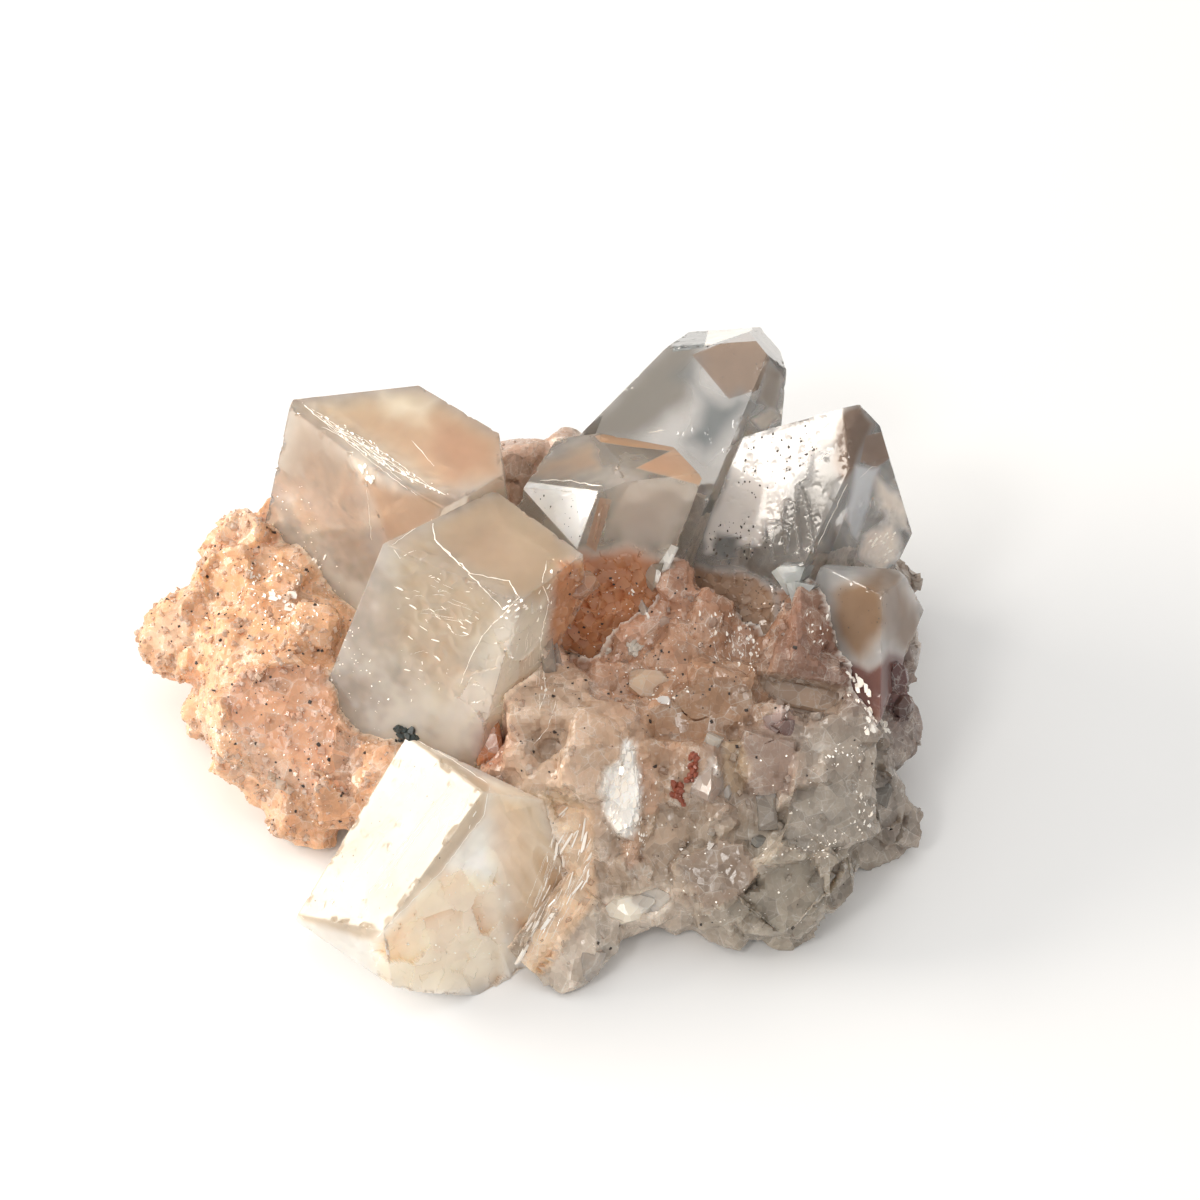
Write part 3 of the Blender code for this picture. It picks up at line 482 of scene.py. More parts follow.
# Shapes of the small crystals: size in mm, and flat cuts as direction and share of the reach.
SHAPES = {
    "pointed prism": ((1, 0.9, 1.6), [((1, 0, 1), 0.72), ((-1, 0, 1), 0.75), ((0, 1, 1), 0.7),
                                      ((0, -1, 1), 0.78), ((1, 1, 0.1), 0.85)]),
    "coffin": ((1.2, 0.6, 1.3), [((1, 0, 0.8), 0.66), ((-1, 0, 1.1), 0.7), ((0, 1, 1.6), 0.86),
                                 ((-1, -1, 0), 0.82)]),
    "blunt wedge": ((1.1, 1.0, 1.0), [((1, 0.3, 1), 0.5), ((-1, 0.4, 0.9), 0.66), ((0.2, -1, 0.7), 0.7),
                                      ((-0.6, -0.7, -0.3), 0.8)]),
    "shard": ((0.7, 1.4, 0.8), [((0.6, 1, 0.5), 0.55), ((-0.8, 0.5, 1), 0.6), ((0.3, -1, 0.9), 0.62),
                                ((-1, -0.6, 0.2), 0.72)]),
    "flake": ((1, 1, 0.16), [((1, 0.5, 0), 0.72), ((-0.8, 1, 0), 0.7), ((-1, -0.7, 0), 0.75)]),
    "sliver": ((1, 1, 0.14), [((0.4, 1, 0), 0.45), ((-0.7, 1, 0), 0.55), ((1, -0.2, 0), 0.8)]),
    "bar": ((1, 1, 1), [((1, 0.2, 0.9), 0.74), ((-1, 0.1, 0.8), 0.78), ((0, 1, 0.9), 0.86),
                        ((0.1, -1, 0.8), 0.84)]),
    "lozenge": ((1, 1, 1), [((1, 1, 0.3), 0.62), ((-1, 1, 0.4), 0.66), ((1, -1, 0.5), 0.64),
                            ((-1, -1, 0.3), 0.62), ((0, 1, 1), 0.8), ((0, -1, 1), 0.82)]),
    "wedge": ((1, 1, 1), [((1, 1, 0.2), 0.30), ((1, -1, 0.15), 0.34), ((-1, 0, 1), 0.86)]),
    "prism": ((1, 1, 1), [((1, 0, 1), 0.7), ((-1, 0, 1), 0.74), ((0, 1, 1), 0.72), ((0, -1, 1), 0.7)]),
    "speck": ((1, 0.8, 0.6), [((1, 1, 1), 0.6), ((-1, 0.5, 1), 0.6), ((0.2, -1, 1), 0.7)]),
}
DRUSE_SHAPES = ("pointed prism", "coffin", "blunt wedge", "shard")
PLATE_SHAPES = ("flake", "sliver")


# Places in the view and on the solid model.

def direction(heading, rise):
    """Unit vector from a heading and a rise in degrees."""
    turn, lift = math.radians(heading), math.radians(rise)
    return Vector((math.cos(turn) * math.cos(lift), math.sin(turn) * math.cos(lift), math.sin(lift)))


def away_from_camera():
    """Unit vector from the cluster to the camera."""
    return Vector((0, -math.cos(CAMERA_ELEVATION), math.sin(CAMERA_ELEVATION)))


def view_axes():
    """Right, up and forward of the camera."""
    back = away_from_camera()
    right = Vector((1, 0, 0))
    return right, back.cross(right), -back


def sight_line(x, y):
    """Start and direction of the line of sight through a point of the view."""
    right, up, forward = view_axes()
    across = (float(x) / VIEW_PIXELS - 0.5) * SENSOR / LENS
    above = (0.5 - float(y) / VIEW_PIXELS) * SENSOR / LENS
    start = LOOK_AT + away_from_camera() * CAMERA_DISTANCE
    return start, (forward + across * right + above * up).normalized()


def in_view(points):
    """View coordinates of an array of points."""
    right, up, forward = [np.array(axis) for axis in view_axes()]
    start = np.array(LOOK_AT + away_from_camera() * CAMERA_DISTANCE)
    offset = points - start
    depth = offset @ forward
    x = (offset @ right / depth * LENS / SENSOR + 0.5) * VIEW_PIXELS
    y = (0.5 - offset @ up / depth * LENS / SENSOR) * VIEW_PIXELS
    return x, y


def surface_tree(names):
    """A search tree over the faces of some nodes."""
    corners, faces = [], []
    for name in names:
        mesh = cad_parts[name].data
        first = len(corners)
        corners += [vertex.co.copy() for vertex in mesh.vertices]
        faces += [[first + index for index in face.vertices] for face in mesh.polygons]
    return BVHTree.FromPolygons(corners, faces)


ALL_SURFACES = surface_tree(list(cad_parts))
CRYSTAL_SURFACES = surface_tree([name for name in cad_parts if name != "matrix"])


def surface_at(x, y):
    """Point where a line of sight first meets the solid model."""
    point = ALL_SURFACES.ray_cast(*sight_line(x, y))[0]
    if point is None:
        raise RuntimeError(f"nothing is seen at {x}, {y}")
    return np.array(point)


def distance_to_line(x, y, points):
    """Distance in pixels from places of the view to a line through points of the view."""
    nearest = np.full(len(x), 1e9)
    for (ax, ay), (bx, by) in zip(points, points[1:]):
        dx, dy = bx - ax, by - ay
        t = np.clip(((x - ax) * dx + (y - ay) * dy) / (dx * dx + dy * dy), 0, 1)
        nearest = np.minimum(nearest, np.hypot(x - ax - t * dx, y - ay - t * dy))
    return nearest


def steps(x, low, high):
    """0 below low, 1 above high and a smooth rise between."""
    t = np.clip((x - low) / (high - low), 0, 1)
    return t * t * (3 - 2 * t)


def outline_mask(x, y, corners, soft):
    """1 inside an outline drawn in the view and 0 outside, with an edge that is soft pixels wide."""
    closed = corners + corners[:1]
    inside = np.zeros(len(x), bool)
    for (ax, ay), (bx, by) in zip(closed, closed[1:]):
        if ay != by:
            inside ^= ((ay > y) != (by > y)) & (x < (y - ay) * (bx - ax) / (by - ay) + ax)
    nearest = distance_to_line(x, y, closed)
    return steps(np.where(inside, nearest, -nearest), -soft, soft)


def line_mask(x, y, line, width):
    """1 along a line drawn in the view, falling to 0 at its width in pixels."""
    return 1 - steps(distance_to_line(x, y, line), width * 0.25, width)


def facing(normals, low=0.02, high=0.15):
    """How squarely a surface faces the camera, 0 where it faces away."""
    return steps(normals @ np.array(away_from_camera()), low, high)


# Meshes.

def select_only(thing=None):
    """Leave nothing selected but one object."""
    if bpy.context.object and bpy.context.object.mode != "OBJECT":
        bpy.ops.object.mode_set(mode="OBJECT")
    bpy.ops.object.select_all(action="DESELECT")
    if thing:
        thing.select_set(True)
        bpy.context.view_layer.objects.active = thing


def edit_all(thing):
    """Enter edit mode on one object with all of it selected."""
    select_only(thing)
    bpy.ops.object.mode_set(mode="EDIT")
    bpy.ops.mesh.select_all(action="SELECT")


def apply_modifiers(thing):
    """Make every modifier of an object part of its mesh."""
    select_only(thing)
    for modifier in list(thing.modifiers):
        bpy.ops.object.modifier_apply(modifier=modifier.name)


def copy_of_node(node, name):
    """A copy of a solid of the model, with its loose triangles joined."""
    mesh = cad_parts[node].data.copy()
    mesh.name = name
    mesh.materials.clear()
    thing = bpy.data.objects.new(name, mesh)
    bpy.context.scene.collection.objects.link(thing)
    edit_all(thing)
    bpy.ops.mesh.customdata_custom_splitnormals_clear()
    bpy.ops.mesh.remove_doubles(threshold=0.000002)
    bpy.ops.object.mode_set(mode="OBJECT")
    return thing


def read_points(thing):
    """Vertex places and normals of an object's mesh as arrays."""
    mesh = thing.data
    places = np.empty(len(mesh.vertices) * 3)
    normals = np.empty(len(mesh.vertices) * 3)
    mesh.vertices.foreach_get("co", places)
    mesh.vertices.foreach_get("normal", normals)
    return places.reshape(-1, 3), normals.reshape(-1, 3)


def write_points(thing, places):
    """Put vertex places back in an object's mesh."""
    thing.data.vertices.foreach_set("co", np.ascontiguousarray(places).ravel())
    thing.data.update()


def refine(thing, longest_at):
    """Subdivide until no edge is longer than the length that is wanted where it lies."""
    edit_all(thing)
    bpy.ops.mesh.select_mode(type="EDGE")
    bpy.ops.mesh.select_all(action="SELECT")
    bpy.ops.mesh.quads_convert_to_tris(quad_method="BEAUTY", ngon_method="BEAUTY")
    bpy.ops.object.mode_set(mode="OBJECT")
    mesh = thing.data
    for _ in range(9):
        places, normals = read_points(thing)
        ends = np.empty(len(mesh.edges) * 2, np.int32)
        mesh.edges.foreach_get("vertices", ends)
        first, second = ends[0::2], ends[1::2]
        lengths = np.linalg.norm(places[first] - places[second], axis=1)
        middles = (places[first] + places[second]) / 2
        too_long = lengths > longest_at(middles, (normals[first] + normals[second]) / 2)
        if not too_long.any():
            break
        chosen = np.zeros(len(places), bool)
        chosen[first[too_long]] = True
        chosen[second[too_long]] = True
        mesh.vertices.foreach_set("select", chosen)
        mesh.edges.foreach_set("select", too_long)
        mesh.polygons.foreach_set("select", np.zeros(len(mesh.polygons), bool))
        bpy.ops.object.mode_set(mode="EDIT")
        bpy.ops.mesh.subdivide(number_cuts=1)
        bpy.ops.mesh.select_all(action="SELECT")
        bpy.ops.mesh.quads_convert_to_tris(quad_method="BEAUTY", ngon_method="BEAUTY")
        bpy.ops.object.mode_set(mode="OBJECT")


def cut_along_sight(thing, first, second):
    """Cut edges into an object on the plane through the camera and two points of the view."""
    start, one = sight_line(*first)
    across = one.cross(sight_line(*second)[1]).normalized()
    edit_all(thing)
    bpy.ops.mesh.bisect(plane_co=tuple(start), plane_no=tuple(across), threshold=1e-7)
    bpy.ops.object.mode_set(mode="OBJECT")


def paint(thing, values, domain="POINT"):
    """Store a colour for each vertex or face corner, which the materials read as tint."""
    layer = thing.data.color_attributes.new("tint", "FLOAT_COLOR", domain)
    layer.data.foreach_set("color", values.astype(np.float32).ravel())


def read_corners(thing):
    """Vertex index, place just inside the face, and face normal of each face corner."""
    mesh = thing.data
    index = np.empty(len(mesh.loops), np.int32)
    mesh.loops.foreach_get("vertex_index", index)
    sides = np.empty(len(mesh.polygons), np.int32)
    mesh.polygons.foreach_get("loop_total", sides)
    centres = np.empty(len(mesh.polygons) * 3)
    mesh.polygons.foreach_get("center", centres)
    normals = np.empty(len(mesh.polygons) * 3)
    mesh.polygons.foreach_get("normal", normals)
    owner = np.repeat(np.arange(len(sides)), sides)
    inside = read_points(thing)[0][index] * 0.9 + centres.reshape(-1, 3)[owner] * 0.1
    return index, inside, normals.reshape(-1, 3)[owner]


def finish_piece(thing, material, node=None):
    """Give a piece its material, hang it under the root, and hide the solid it stands in for."""
    thing.data.materials.append(material)
    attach(thing, "root")
    if node:
        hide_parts(node)


def shade_flat_faces(thing, angle):
    """Smooth shading, with the edges steeper than an angle in degrees kept sharp."""
    select_only(thing)
    bpy.ops.object.shade_smooth_by_angle(angle=math.radians(angle))


# Colours and forms of the crust.

def crust_face_weights(places, normals):
    """How much each place of the crust belongs to each flat face that the view shows."""
    x, y = in_view(places)
    seen = facing(normals, -0.1, 0.25)
    weights = {}
    for name, (outline, *_) in CRUST_FACES.items():
        middle = np.mean(outline, axis=0)
        reach = np.hypot(*(np.array(outline) - middle).T).max() * 0.16 * MM + 2.5 * MM
        close = np.linalg.norm(places - surface_at(*middle), axis=1) < reach
        weights[name] = outline_mask(x, y, outline, 2.5) * seen * close
    return weights


def crust_colours(places, normals):
    """Colour of the crust at each place, and how glassy it is, from the areas that the view shows."""
    wobble = np.array([noise.noise_vector(Vector(p) * 160) for p in places])
    moved = places + wobble * 3 * MM
    left = steps(-places[:, 0], 8 * MM, 20 * MM)[:, None]
    total = np.full((len(places), 1), 0.12)
    values = (left * np.array(HIDDEN_PEACH) + (1 - left) * np.array(HIDDEN_GREY)) * total
    for x, y, reach, shade, glassy in CRUST_AREAS.values():
        distance = np.linalg.norm(moved - surface_at(x, y), axis=1) / (reach * MM)
        weight = np.exp(-(distance ** 2) * 1.6)[:, None]
        values = values + weight * np.array((*shade, glassy))
        total = total + weight
    values = values / total
    for name, weight in crust_face_weights(places, normals).items():
        _, _, _, shade, glassy = CRUST_FACES[name]
        values += (weight * 0.9)[:, None] * (np.array((*shade, glassy)) - values)
    near = np.array([CRYSTAL_SURFACES.find_nearest(Vector(p))[3] for p in places])
    inside = (1 - steps(near, 0.32 * MM, 0.40 * MM))[:, None]
    left = steps(-places[:, 0], -18 * MM, 6 * MM)[:, None]
    socket = left * np.array(SOCKET_WARM) + (1 - left) * np.array(SOCKET_GREY)
    return values * (1 - inside) + socket * inside


def cell_tone(point, size):
    """A random value from -1 to 1 for each facet of about one size."""
    return noise.noise(noise.voronoi(point / size)[1][0] * 5.1)


def cell_facets(point, size, slope):
    """Height of a surface broken into flat facets of about one size."""
    scaled = point / size
    centre = noise.voronoi(scaled)[1][0]
    return (scaled - centre).dot(noise.noise_vector(centre * 7.3)) * slope * size


def wear_skin(mass, sizes):
    """An even, finely meshed skin on the mass, its corners worn most on the waxy side."""
    skin = mass.modifiers.new("even skin", "REMESH")
    skin.mode = "VOXEL"
    skin.voxel_size = sizes.crust_edge
    apply_modifiers(mass)
    waxy = mass.vertex_groups.new(name="waxy")
    tenths = np.round((0.25 + 0.75 * steps(read_points(mass)[0][:, 0], -12 * MM, -2 * MM)) * 10)
    for level in range(11):
        waxy.add(np.flatnonzero(tenths == level).tolist(), level / 10, "REPLACE")
    soften = mass.modifiers.new("worn corners", "SMOOTH")
    soften.factor = 0.5
    soften.iterations = sizes.crust_wear
    soften.vertex_group = "waxy"
    apply_modifiers(mass)


def on_flat_faces(places, normals):
    """Places of the crust moved into its flat faces, and how much each belongs to one."""
    moved = places.copy()
    flat = np.zeros(len(places))
    for name, weight in crust_face_weights(places, normals).items():
        if weight.sum() < 1:
            continue
        _, heading, rise, _, _ = CRUST_FACES[name]
        axis = np.array(direction(heading, rise))
        level = (places @ axis * weight).sum() / weight.sum()
        shift = np.clip(level - places @ axis, -FACE_SHIFT, FACE_SHIFT)
        moved += (weight * shift)[:, None] * axis
        flat = np.maximum(flat, weight)
    return moved, flat


def crust_heights(places, flat, sizes):
    """Height of the crust's grain: fine facets on the peach side, broad broken ones elsewhere."""
    heights = np.zeros(len(places))
    for index, place in enumerate(places):
        point = Vector(place)
        peach = min(1, max(0, (-place[0] - 4 * MM) / (14 * MM)))
        fine = cell_facets(point, sizes.peach_grain, 0.34)
        broad = cell_facets(point, sizes.grey_grain, 0.36)
        lumps = noise.fractal(point / (2.2 * MM), 0.8, 2.0, 4) * 0.09 * MM
        calm = 1 - 0.85 * flat[index]
        facets = peach * fine + (1 - peach) * (broad + 0.45 * fine)
        heights[index] = facets * calm + lumps * (0.4 + 0.6 * calm)
    return np.clip(heights, -RELIEF_LIMIT, RELIEF_LIMIT)


# Forms of the big crystals' faces. Each takes a point and gives a height.

def broken(point):
    """Conchoidal break: smooth hollows with creases between them."""
    swell = noise.fractal(point / (3.0 * MM), 0.9, 2.0, 2)
    crease = abs(noise.noise(point / (1.7 * MM)))
    return (0.30 * swell - 0.42 * crease + 0.05 * noise.noise(point * 1700)) * MM


def chipped(point):
    """Flat chips stepped against each other, as cleavage leaves them."""
    return cell_facets(point, 4.2 * MM, 0.42) + cell_facets(point, 1.7 * MM, 0.16) - 0.08 * MM


def streaked(point):
    """Torn cleavage: long uneven ridges that run down to the left."""
    across = (point.x * 0.78 - point.y * 0.35 + point.z * 0.52) / (1.5 * MM)
    along = (point.x * 0.62 + point.y * 0.30 - point.z * 0.72) / (6 * MM)
    ridge = 1 - 2 * abs(noise.noise(Vector((across, along, 2.0))))
    fine = noise.noise(Vector((across * 3, along * 2, 7.0)))
    return (0.38 * ridge + 0.10 * fine - 0.25) * MM


def etched(point):
    """Etched face: shallow pits and steps."""
    pits = noise.noise(point * 900) + 0.6 * noise.noise(point * 2100)
    return -max(0.0, pits - 0.35) * 0.16 * MM + noise.noise(point * 260) * 0.04 * MM


def sugary(point):
    """Sugary foot: small flat grains grown over the face."""
    return cell_facets(point, 1.2 * MM, 0.55) + noise.noise(point * 1500) * 0.05 * MM - 0.05 * MM


def rippled(point):
    """Crinkled face with soft folds."""
    return noise.fractal(point * 650, 0.8, 2.1, 3) * 0.16 * MM


# Broken, torn and etched parts of the crystals' faces: outline in the view, form, share, edge width.
CRYSTAL_RELIEF = {
    "centre_crystal": [
        ([(395, 560), (436, 540), (470, 575), (512, 584), (505, 612), (472, 660), (455, 705), (400, 660)],
            broken, 0.8, 10),
        ([(480, 640), (506, 615), (546, 600), (560, 660), (545, 740), (500, 745), (458, 700)], chipped,
            0.8, 8),
        ([(552, 560), (640, 550), (640, 720), (552, 720)], sugary, 1.3, 8),
    ],
    "front_block": [
        ([(495, 800), (560, 800), (592, 815), (596, 895), (530, 975), (500, 985), (505, 880)], streaked,
            1.7, 9),
        ([(372, 945), (442, 880), (495, 850), (505, 985), (430, 1000), (380, 985)], chipped, 1.0, 7),
        ([(400, 742), (484, 790), (470, 830), (360, 930), (290, 905), (330, 850)], etched, 0.5, 8),
    ],
    "right_block": [
        ([(745, 440), (840, 410), (850, 465), (812, 548), (765, 560), (703, 550)], etched, 1.0, 5),
        ([(860, 500), (898, 505), (908, 545), (892, 575), (862, 570)], rippled, 1.0, 8),
        ([(690, 568), (745, 574), (850, 590), (850, 640), (690, 640)], sugary, 1.2, 6),
    ],
    "left_crystal": [
        ([(300, 402), (316, 398), (372, 440), (445, 485), (455, 500), (430, 496), (360, 452)], broken,
            0.8, 5),
        ([(345, 455), (380, 465), (385, 490), (352, 480)], rippled, 1.0, 5),
    ],
    "rear_point": [
        ([(672, 352), (677, 331), (706, 329), (708, 347)], etched, 1.0, 3),
        ([(676, 432), (712, 420), (716, 445), (684, 450)], etched, 1.4, 5),
    ],
    "middle_crystal": [
        ([(598, 494), (612, 500), (598, 552), (584, 548)], rippled, 0.8, 3),
        ([(560, 556), (640, 548), (700, 590), (700, 720), (540, 720)], sugary, 1.3, 10),
    ],
}


def crystal_mesh_size(node, middles, normals, usual):
    """Longest mesh edge wanted at each place of a crystal: finer where broken, coarser behind."""
    x, y = in_view(middles)
    fine = np.zeros(len(middles))
    for outline, _, _, _ in CRYSTAL_RELIEF.get(node, []):
        fine = np.maximum(fine, outline_mask(x, y, outline, 6))
    ahead = normals @ np.array(away_from_camera()) > -0.05
    return np.where(ahead, np.where(fine > 0.05, FINE_EDGE, usual), usual * 2)


def sharp_edge_points(thing):
    """A search tree of points along the sharp edges of a crystal."""
    bm = bmesh.new()
    bm.from_mesh(thing.data)
    points = []
    for edge in bm.edges:
        if len(edge.link_faces) == 2 and edge.calc_face_angle() > math.radians(8):
            first, second = edge.verts[0].co, edge.verts[1].co
            count = max(2, int((second - first).length / (0.3 * MM)))
            points += [first.lerp(second, i / count) for i in range(count + 1)]
    bm.free()
    tree = KDTree(len(points))
    for index, point in enumerate(points):
        tree.insert(point, index)
    tree.balance()
    return tree


def edge_nicks(places, corners):
    """Depth of the small chips along the sharp edges."""
    depths = np.zeros(len(places))
    for index, place in enumerate(places):
        point = Vector(place)
        distance = corners.find(point)[2]
        if distance < NICK_REACH:
            chance = noise.noise(point * 700) + 0.5 * noise.noise(point * 1900)
            closeness = 1 - distance / NICK_REACH
            depths[index] = max(0.0, min(1.0, (chance - 0.22) * 3)) * closeness * 0.28 * MM
    return depths


def crystal_relief(node, places, normals):
    """Height of the broken, torn and etched parts of a crystal's faces."""
    x, y = in_view(places)
    seen = facing(normals)
    heights = np.zeros(len(places))
    for outline, form, share, soft in CRYSTAL_RELIEF.get(node, []):
        mask = outline_mask(x, y, outline, soft) * seen * share
        for index in np.flatnonzero(mask > 0.01):
            heights[index] += mask[index] * form(Vector(places[index]))
    for line, width, height in CRYSTAL_RIDGES.get(node, []):
        heights += line_mask(x, y, line, width) * seen * height * MM
    return np.clip(heights, -RELIEF_LIMIT, RIDGE_LIMIT)


def crystal_tint(node, crystal, haze, heights):
    """Colour and haze of a big crystal at its face corners, patch by patch, mottled elsewhere, with painted
    shade in its broken hollows.
    """
    vertices = [Vector(p) for p in read_points(crystal)[0]]
    index, places, normals = read_corners(crystal)
    shake = np.array([noise.noise_vector(p * 400)[:2] for p in vertices])[index] * 5
    cloud = np.array([noise.fractal(p * 130, 0.8, 2.0, 4) for p in vertices])[index]
    chips = np.array([cell_tone(p, 4.2 * MM) + 0.5 * cell_tone(p, 1.7 * MM) for p in vertices])[index]
    x, y = in_view(places)
    seen = facing(normals)
    values = np.ones((len(places), 4))
    values[:, 3] = haze[0] + (haze[1] - haze[0]) * steps(cloud, -0.4, 0.6)
    for outline, colour, patch_haze, soft in CRYSTAL_PATCHES[node]:
        crisp = soft < CRISP
        ragged = shake * (0.0 if crisp else min(1.0, soft / 6))
        mask = outline_mask(x + ragged[:, 0], y + ragged[:, 1], outline, 0.2 if crisp else soft)
        values += (mask * seen)[:, None] * (np.array([*colour, patch_haze]) - values)
    values[:, 3] = np.clip(values[:, 3] * (1 + 0.12 * cloud), 0, 1)
    values[:, :3] *= (1 + 0.06 * cloud + CHIP_TONE * chips * values[:, 3] ** 2)[:, None]
    # Painted shade: the broken hollows of the seen faces are darkened, more in blue than in red.
    hollow = (steps(-heights, -0.05 * MM, 0.75 * MM)[index] * seen)[:, None]
    values[:, :3] *= 1 - hollow * np.array(PAINTED_HOLLOW_SHADE)
    values[:, 3] += (1 - seen) * np.clip(BEHIND_HAZE - values[:, 3], 0, 1)
    return np.clip(values, 0, 1.25)


# Materials.

class Finish:
    """A material while it is wired up. Sizes are in millimetres."""

    def __init__(self, name):
        self.material = bpy.data.materials.new(name)
        self.material.use_nodes = True
        self.shader = self.material.node_tree.nodes["Principled BSDF"]

    def feed(self, socket, value):
        """Link an input to another node's output, or give it a plain value."""
        if isinstance(value, bpy.types.NodeSocket):
            self.material.node_tree.links.new(value, socket)
        elif socket.type == "RGBA":
            socket.default_value = (*value, 1)
        else:
            socket.default_value = value

    def add(self, kind, feeds=None, **settings):
        """A new node with its settings and what feeds its inputs."""
        node = self.material.node_tree.nodes.new("ShaderNode" + kind)
        for name, value in settings.items():
            setattr(node, name, value)
        for key, value in (feeds or {}).items():
            self.feed(node.inputs[key], value)
        return node

    def surface(self, feeds):
        """Feed the shader's own inputs."""
        for name, value in feeds.items():
            self.feed(self.shader.inputs[name], value)

    @cached_property
    def place(self):
        """The object's own coordinates."""
        return self.add("TexCoord").outputs["Object"]

    @cached_property
    def tint(self):
        """Colour and alpha painted on the mesh."""
        return self.add("Attribute", attribute_name="tint").outputs

    def noise(self, size, detail=4.0, roughness=0.55, distortion=0.0):
        """A noise texture whose features are about a size."""
        feeds = {"Scale": 1 / (size * MM), "Detail": detail, "Roughness": roughness,
                 "Distortion": distortion, "Vector": self.place}
        return self.add("TexNoise", feeds).outputs["Fac"]

    def mapped(self, value, low, high, to_low, to_high):
        """A value stretched from one range to another, and clamped."""
        feeds = {"Value": value, "From Min": low, "From Max": high, "To Min": to_low, "To Max": to_high}
        return self.add("MapRange", feeds).outputs["Result"]

    def mixed(self, factor, first, second, blend="MIX"):
        """A mix of two colours by a factor."""
        node = self.add("Mix", data_type="RGBA", blend_type=blend)
        colours = [item for item in node.inputs if item.type == "RGBA"]
        for socket, value in zip((node.inputs[0], *colours), (factor, first, second)):
            self.feed(socket, value)
        return [item for item in node.outputs if item.type == "RGBA"][0]

    def maths(self, operation, first, second):
        """Two values put together."""
        return self.add("Math", {0: first, 1: second}, operation=operation).outputs["Value"]

    def bump(self, height, depth, strength, normal=None):
        """A bump of some depth, on a normal that is already tipped or on the surface's own."""
        feeds = {"Distance": depth * MM, "Strength": strength, "Height": height}
        if normal is not None:
            feeds["Normal"] = normal
        return self.add("Bump", feeds).outputs["Normal"]

    def cells(self, size, stretch):
        """Small flat faces: a random tone and lean for each, and the distance to its rim."""
        turned = self.add("Mapping", {"Rotation": (0.5, 0.3, 0.7), "Scale": stretch, "Vector": self.place})
        feeds = {"Scale": 1 / (size * MM), "Vector": turned.outputs["Vector"]}
        lean = self.add("TexVoronoi", feeds).outputs["Color"]
        rim = self.add("TexVoronoi", feeds, feature="DISTANCE_TO_EDGE").outputs["Distance"]
        return self.add("SeparateColor", {"Color": lean}).outputs["Red"], lean, rim

    def toned(self, colour, tone, low, high):
        """A colour made darker or lighter by a random tone."""
        feeds = {"Color": colour, "Value": self.mapped(tone, 0.0, 1.0, low, high)}
        return self.add("HueSaturation", feeds).outputs["Color"]

    def leaned(self, *leans):
        """The surface normal tipped a little by random leans, each with its share."""
        normal = self.add("NewGeometry").outputs["Normal"]
        for lean, share in leans:
            centred = self.add("VectorMath", {0: lean, 1: (0.5, 0.5, 0.5)}, operation="SUBTRACT")
            scaled = self.add("VectorMath", {0: centred.outputs["Vector"], "Scale": share}, operation="SCALE")
            tipped = self.add("VectorMath", {0: normal, 1: scaled.outputs["Vector"]}, operation="ADD")
            normal = tipped.outputs["Vector"]
        return self.add("VectorMath", {0: normal}, operation="NORMALIZE").outputs["Vector"]


def crust_material():
    """Crust: sugary grain on the peach side, smooth, waxy and a little see-through elsewhere."""
    finish = Finish("crust")
    glassy = finish.tint["Alpha"]
    mottle = finish.noise(2.4, 3.0, 0.6)
    grain = finish.noise(0.45, 2.0, 0.65)
    veils = finish.noise(1.1, 3.0, 0.7, 1.2)
    broad_tone, broad_lean, broad_rim = finish.cells(2.1, (1.0, 1.25, 0.8))
    fine_tone, fine_lean, fine_rim = finish.cells(0.75, (1.2, 0.85, 1.0))
    colour = finish.tint["Color"]
    colour = finish.mixed(finish.mapped(mottle, 0.50, 0.75, 0.0, 0.35), colour, (0.90, 0.76, 0.64))
    colour = finish.mixed(finish.mapped(mottle, 0.26, 0.44, 0.30, 0.0), colour, (0.30, 0.17, 0.11))
    colour = finish.mixed(finish.mapped(veils, 0.60, 0.70, 0.0, 0.22), colour, (0.95, 0.90, 0.84))
    colour = finish.toned(colour, broad_tone, 0.80, 1.16)
    colour = finish.toned(colour, fine_tone, 0.86, 1.10)
    rims = finish.maths("MAXIMUM", finish.mapped(broad_rim, 0.0, 0.035, 0.42, 0.0),
                        finish.mapped(fine_rim, 0.0, 0.05, 0.24, 0.0))
    rims = finish.maths("MULTIPLY", rims, finish.mapped(mottle, 0.42, 0.60, 0.0, 1.0))
    sugary_side = finish.mapped(grain, 0.3, 0.7, 0.18, 0.42)
    waxy_side = finish.mapped(mottle, 0.35, 0.65, 0.10, 0.24)
    finish.surface({
        "Base Color": finish.mixed(rims, colour, (0.97, 0.92, 0.85)),
        "Roughness": finish.add("Mix", {0: glassy, 2: sugary_side, 3: waxy_side}).outputs[0],
        "Transmission Weight": finish.mapped(glassy, 0.4, 1.0, 0.0, 0.38),
        "IOR": 1.5,
        "Subsurface Weight": 0.22,
        "Subsurface Radius": (1.0, 0.7, 0.5),
        "Subsurface Scale": 2.6 * MM,
        "Normal": finish.bump(grain, 0.07, finish.mapped(glassy, 0.0, 0.8, 0.7, 0.25),
                              finish.leaned((broad_lean, 0.34), (fine_lean, 0.30))),
    })
    return finish.material


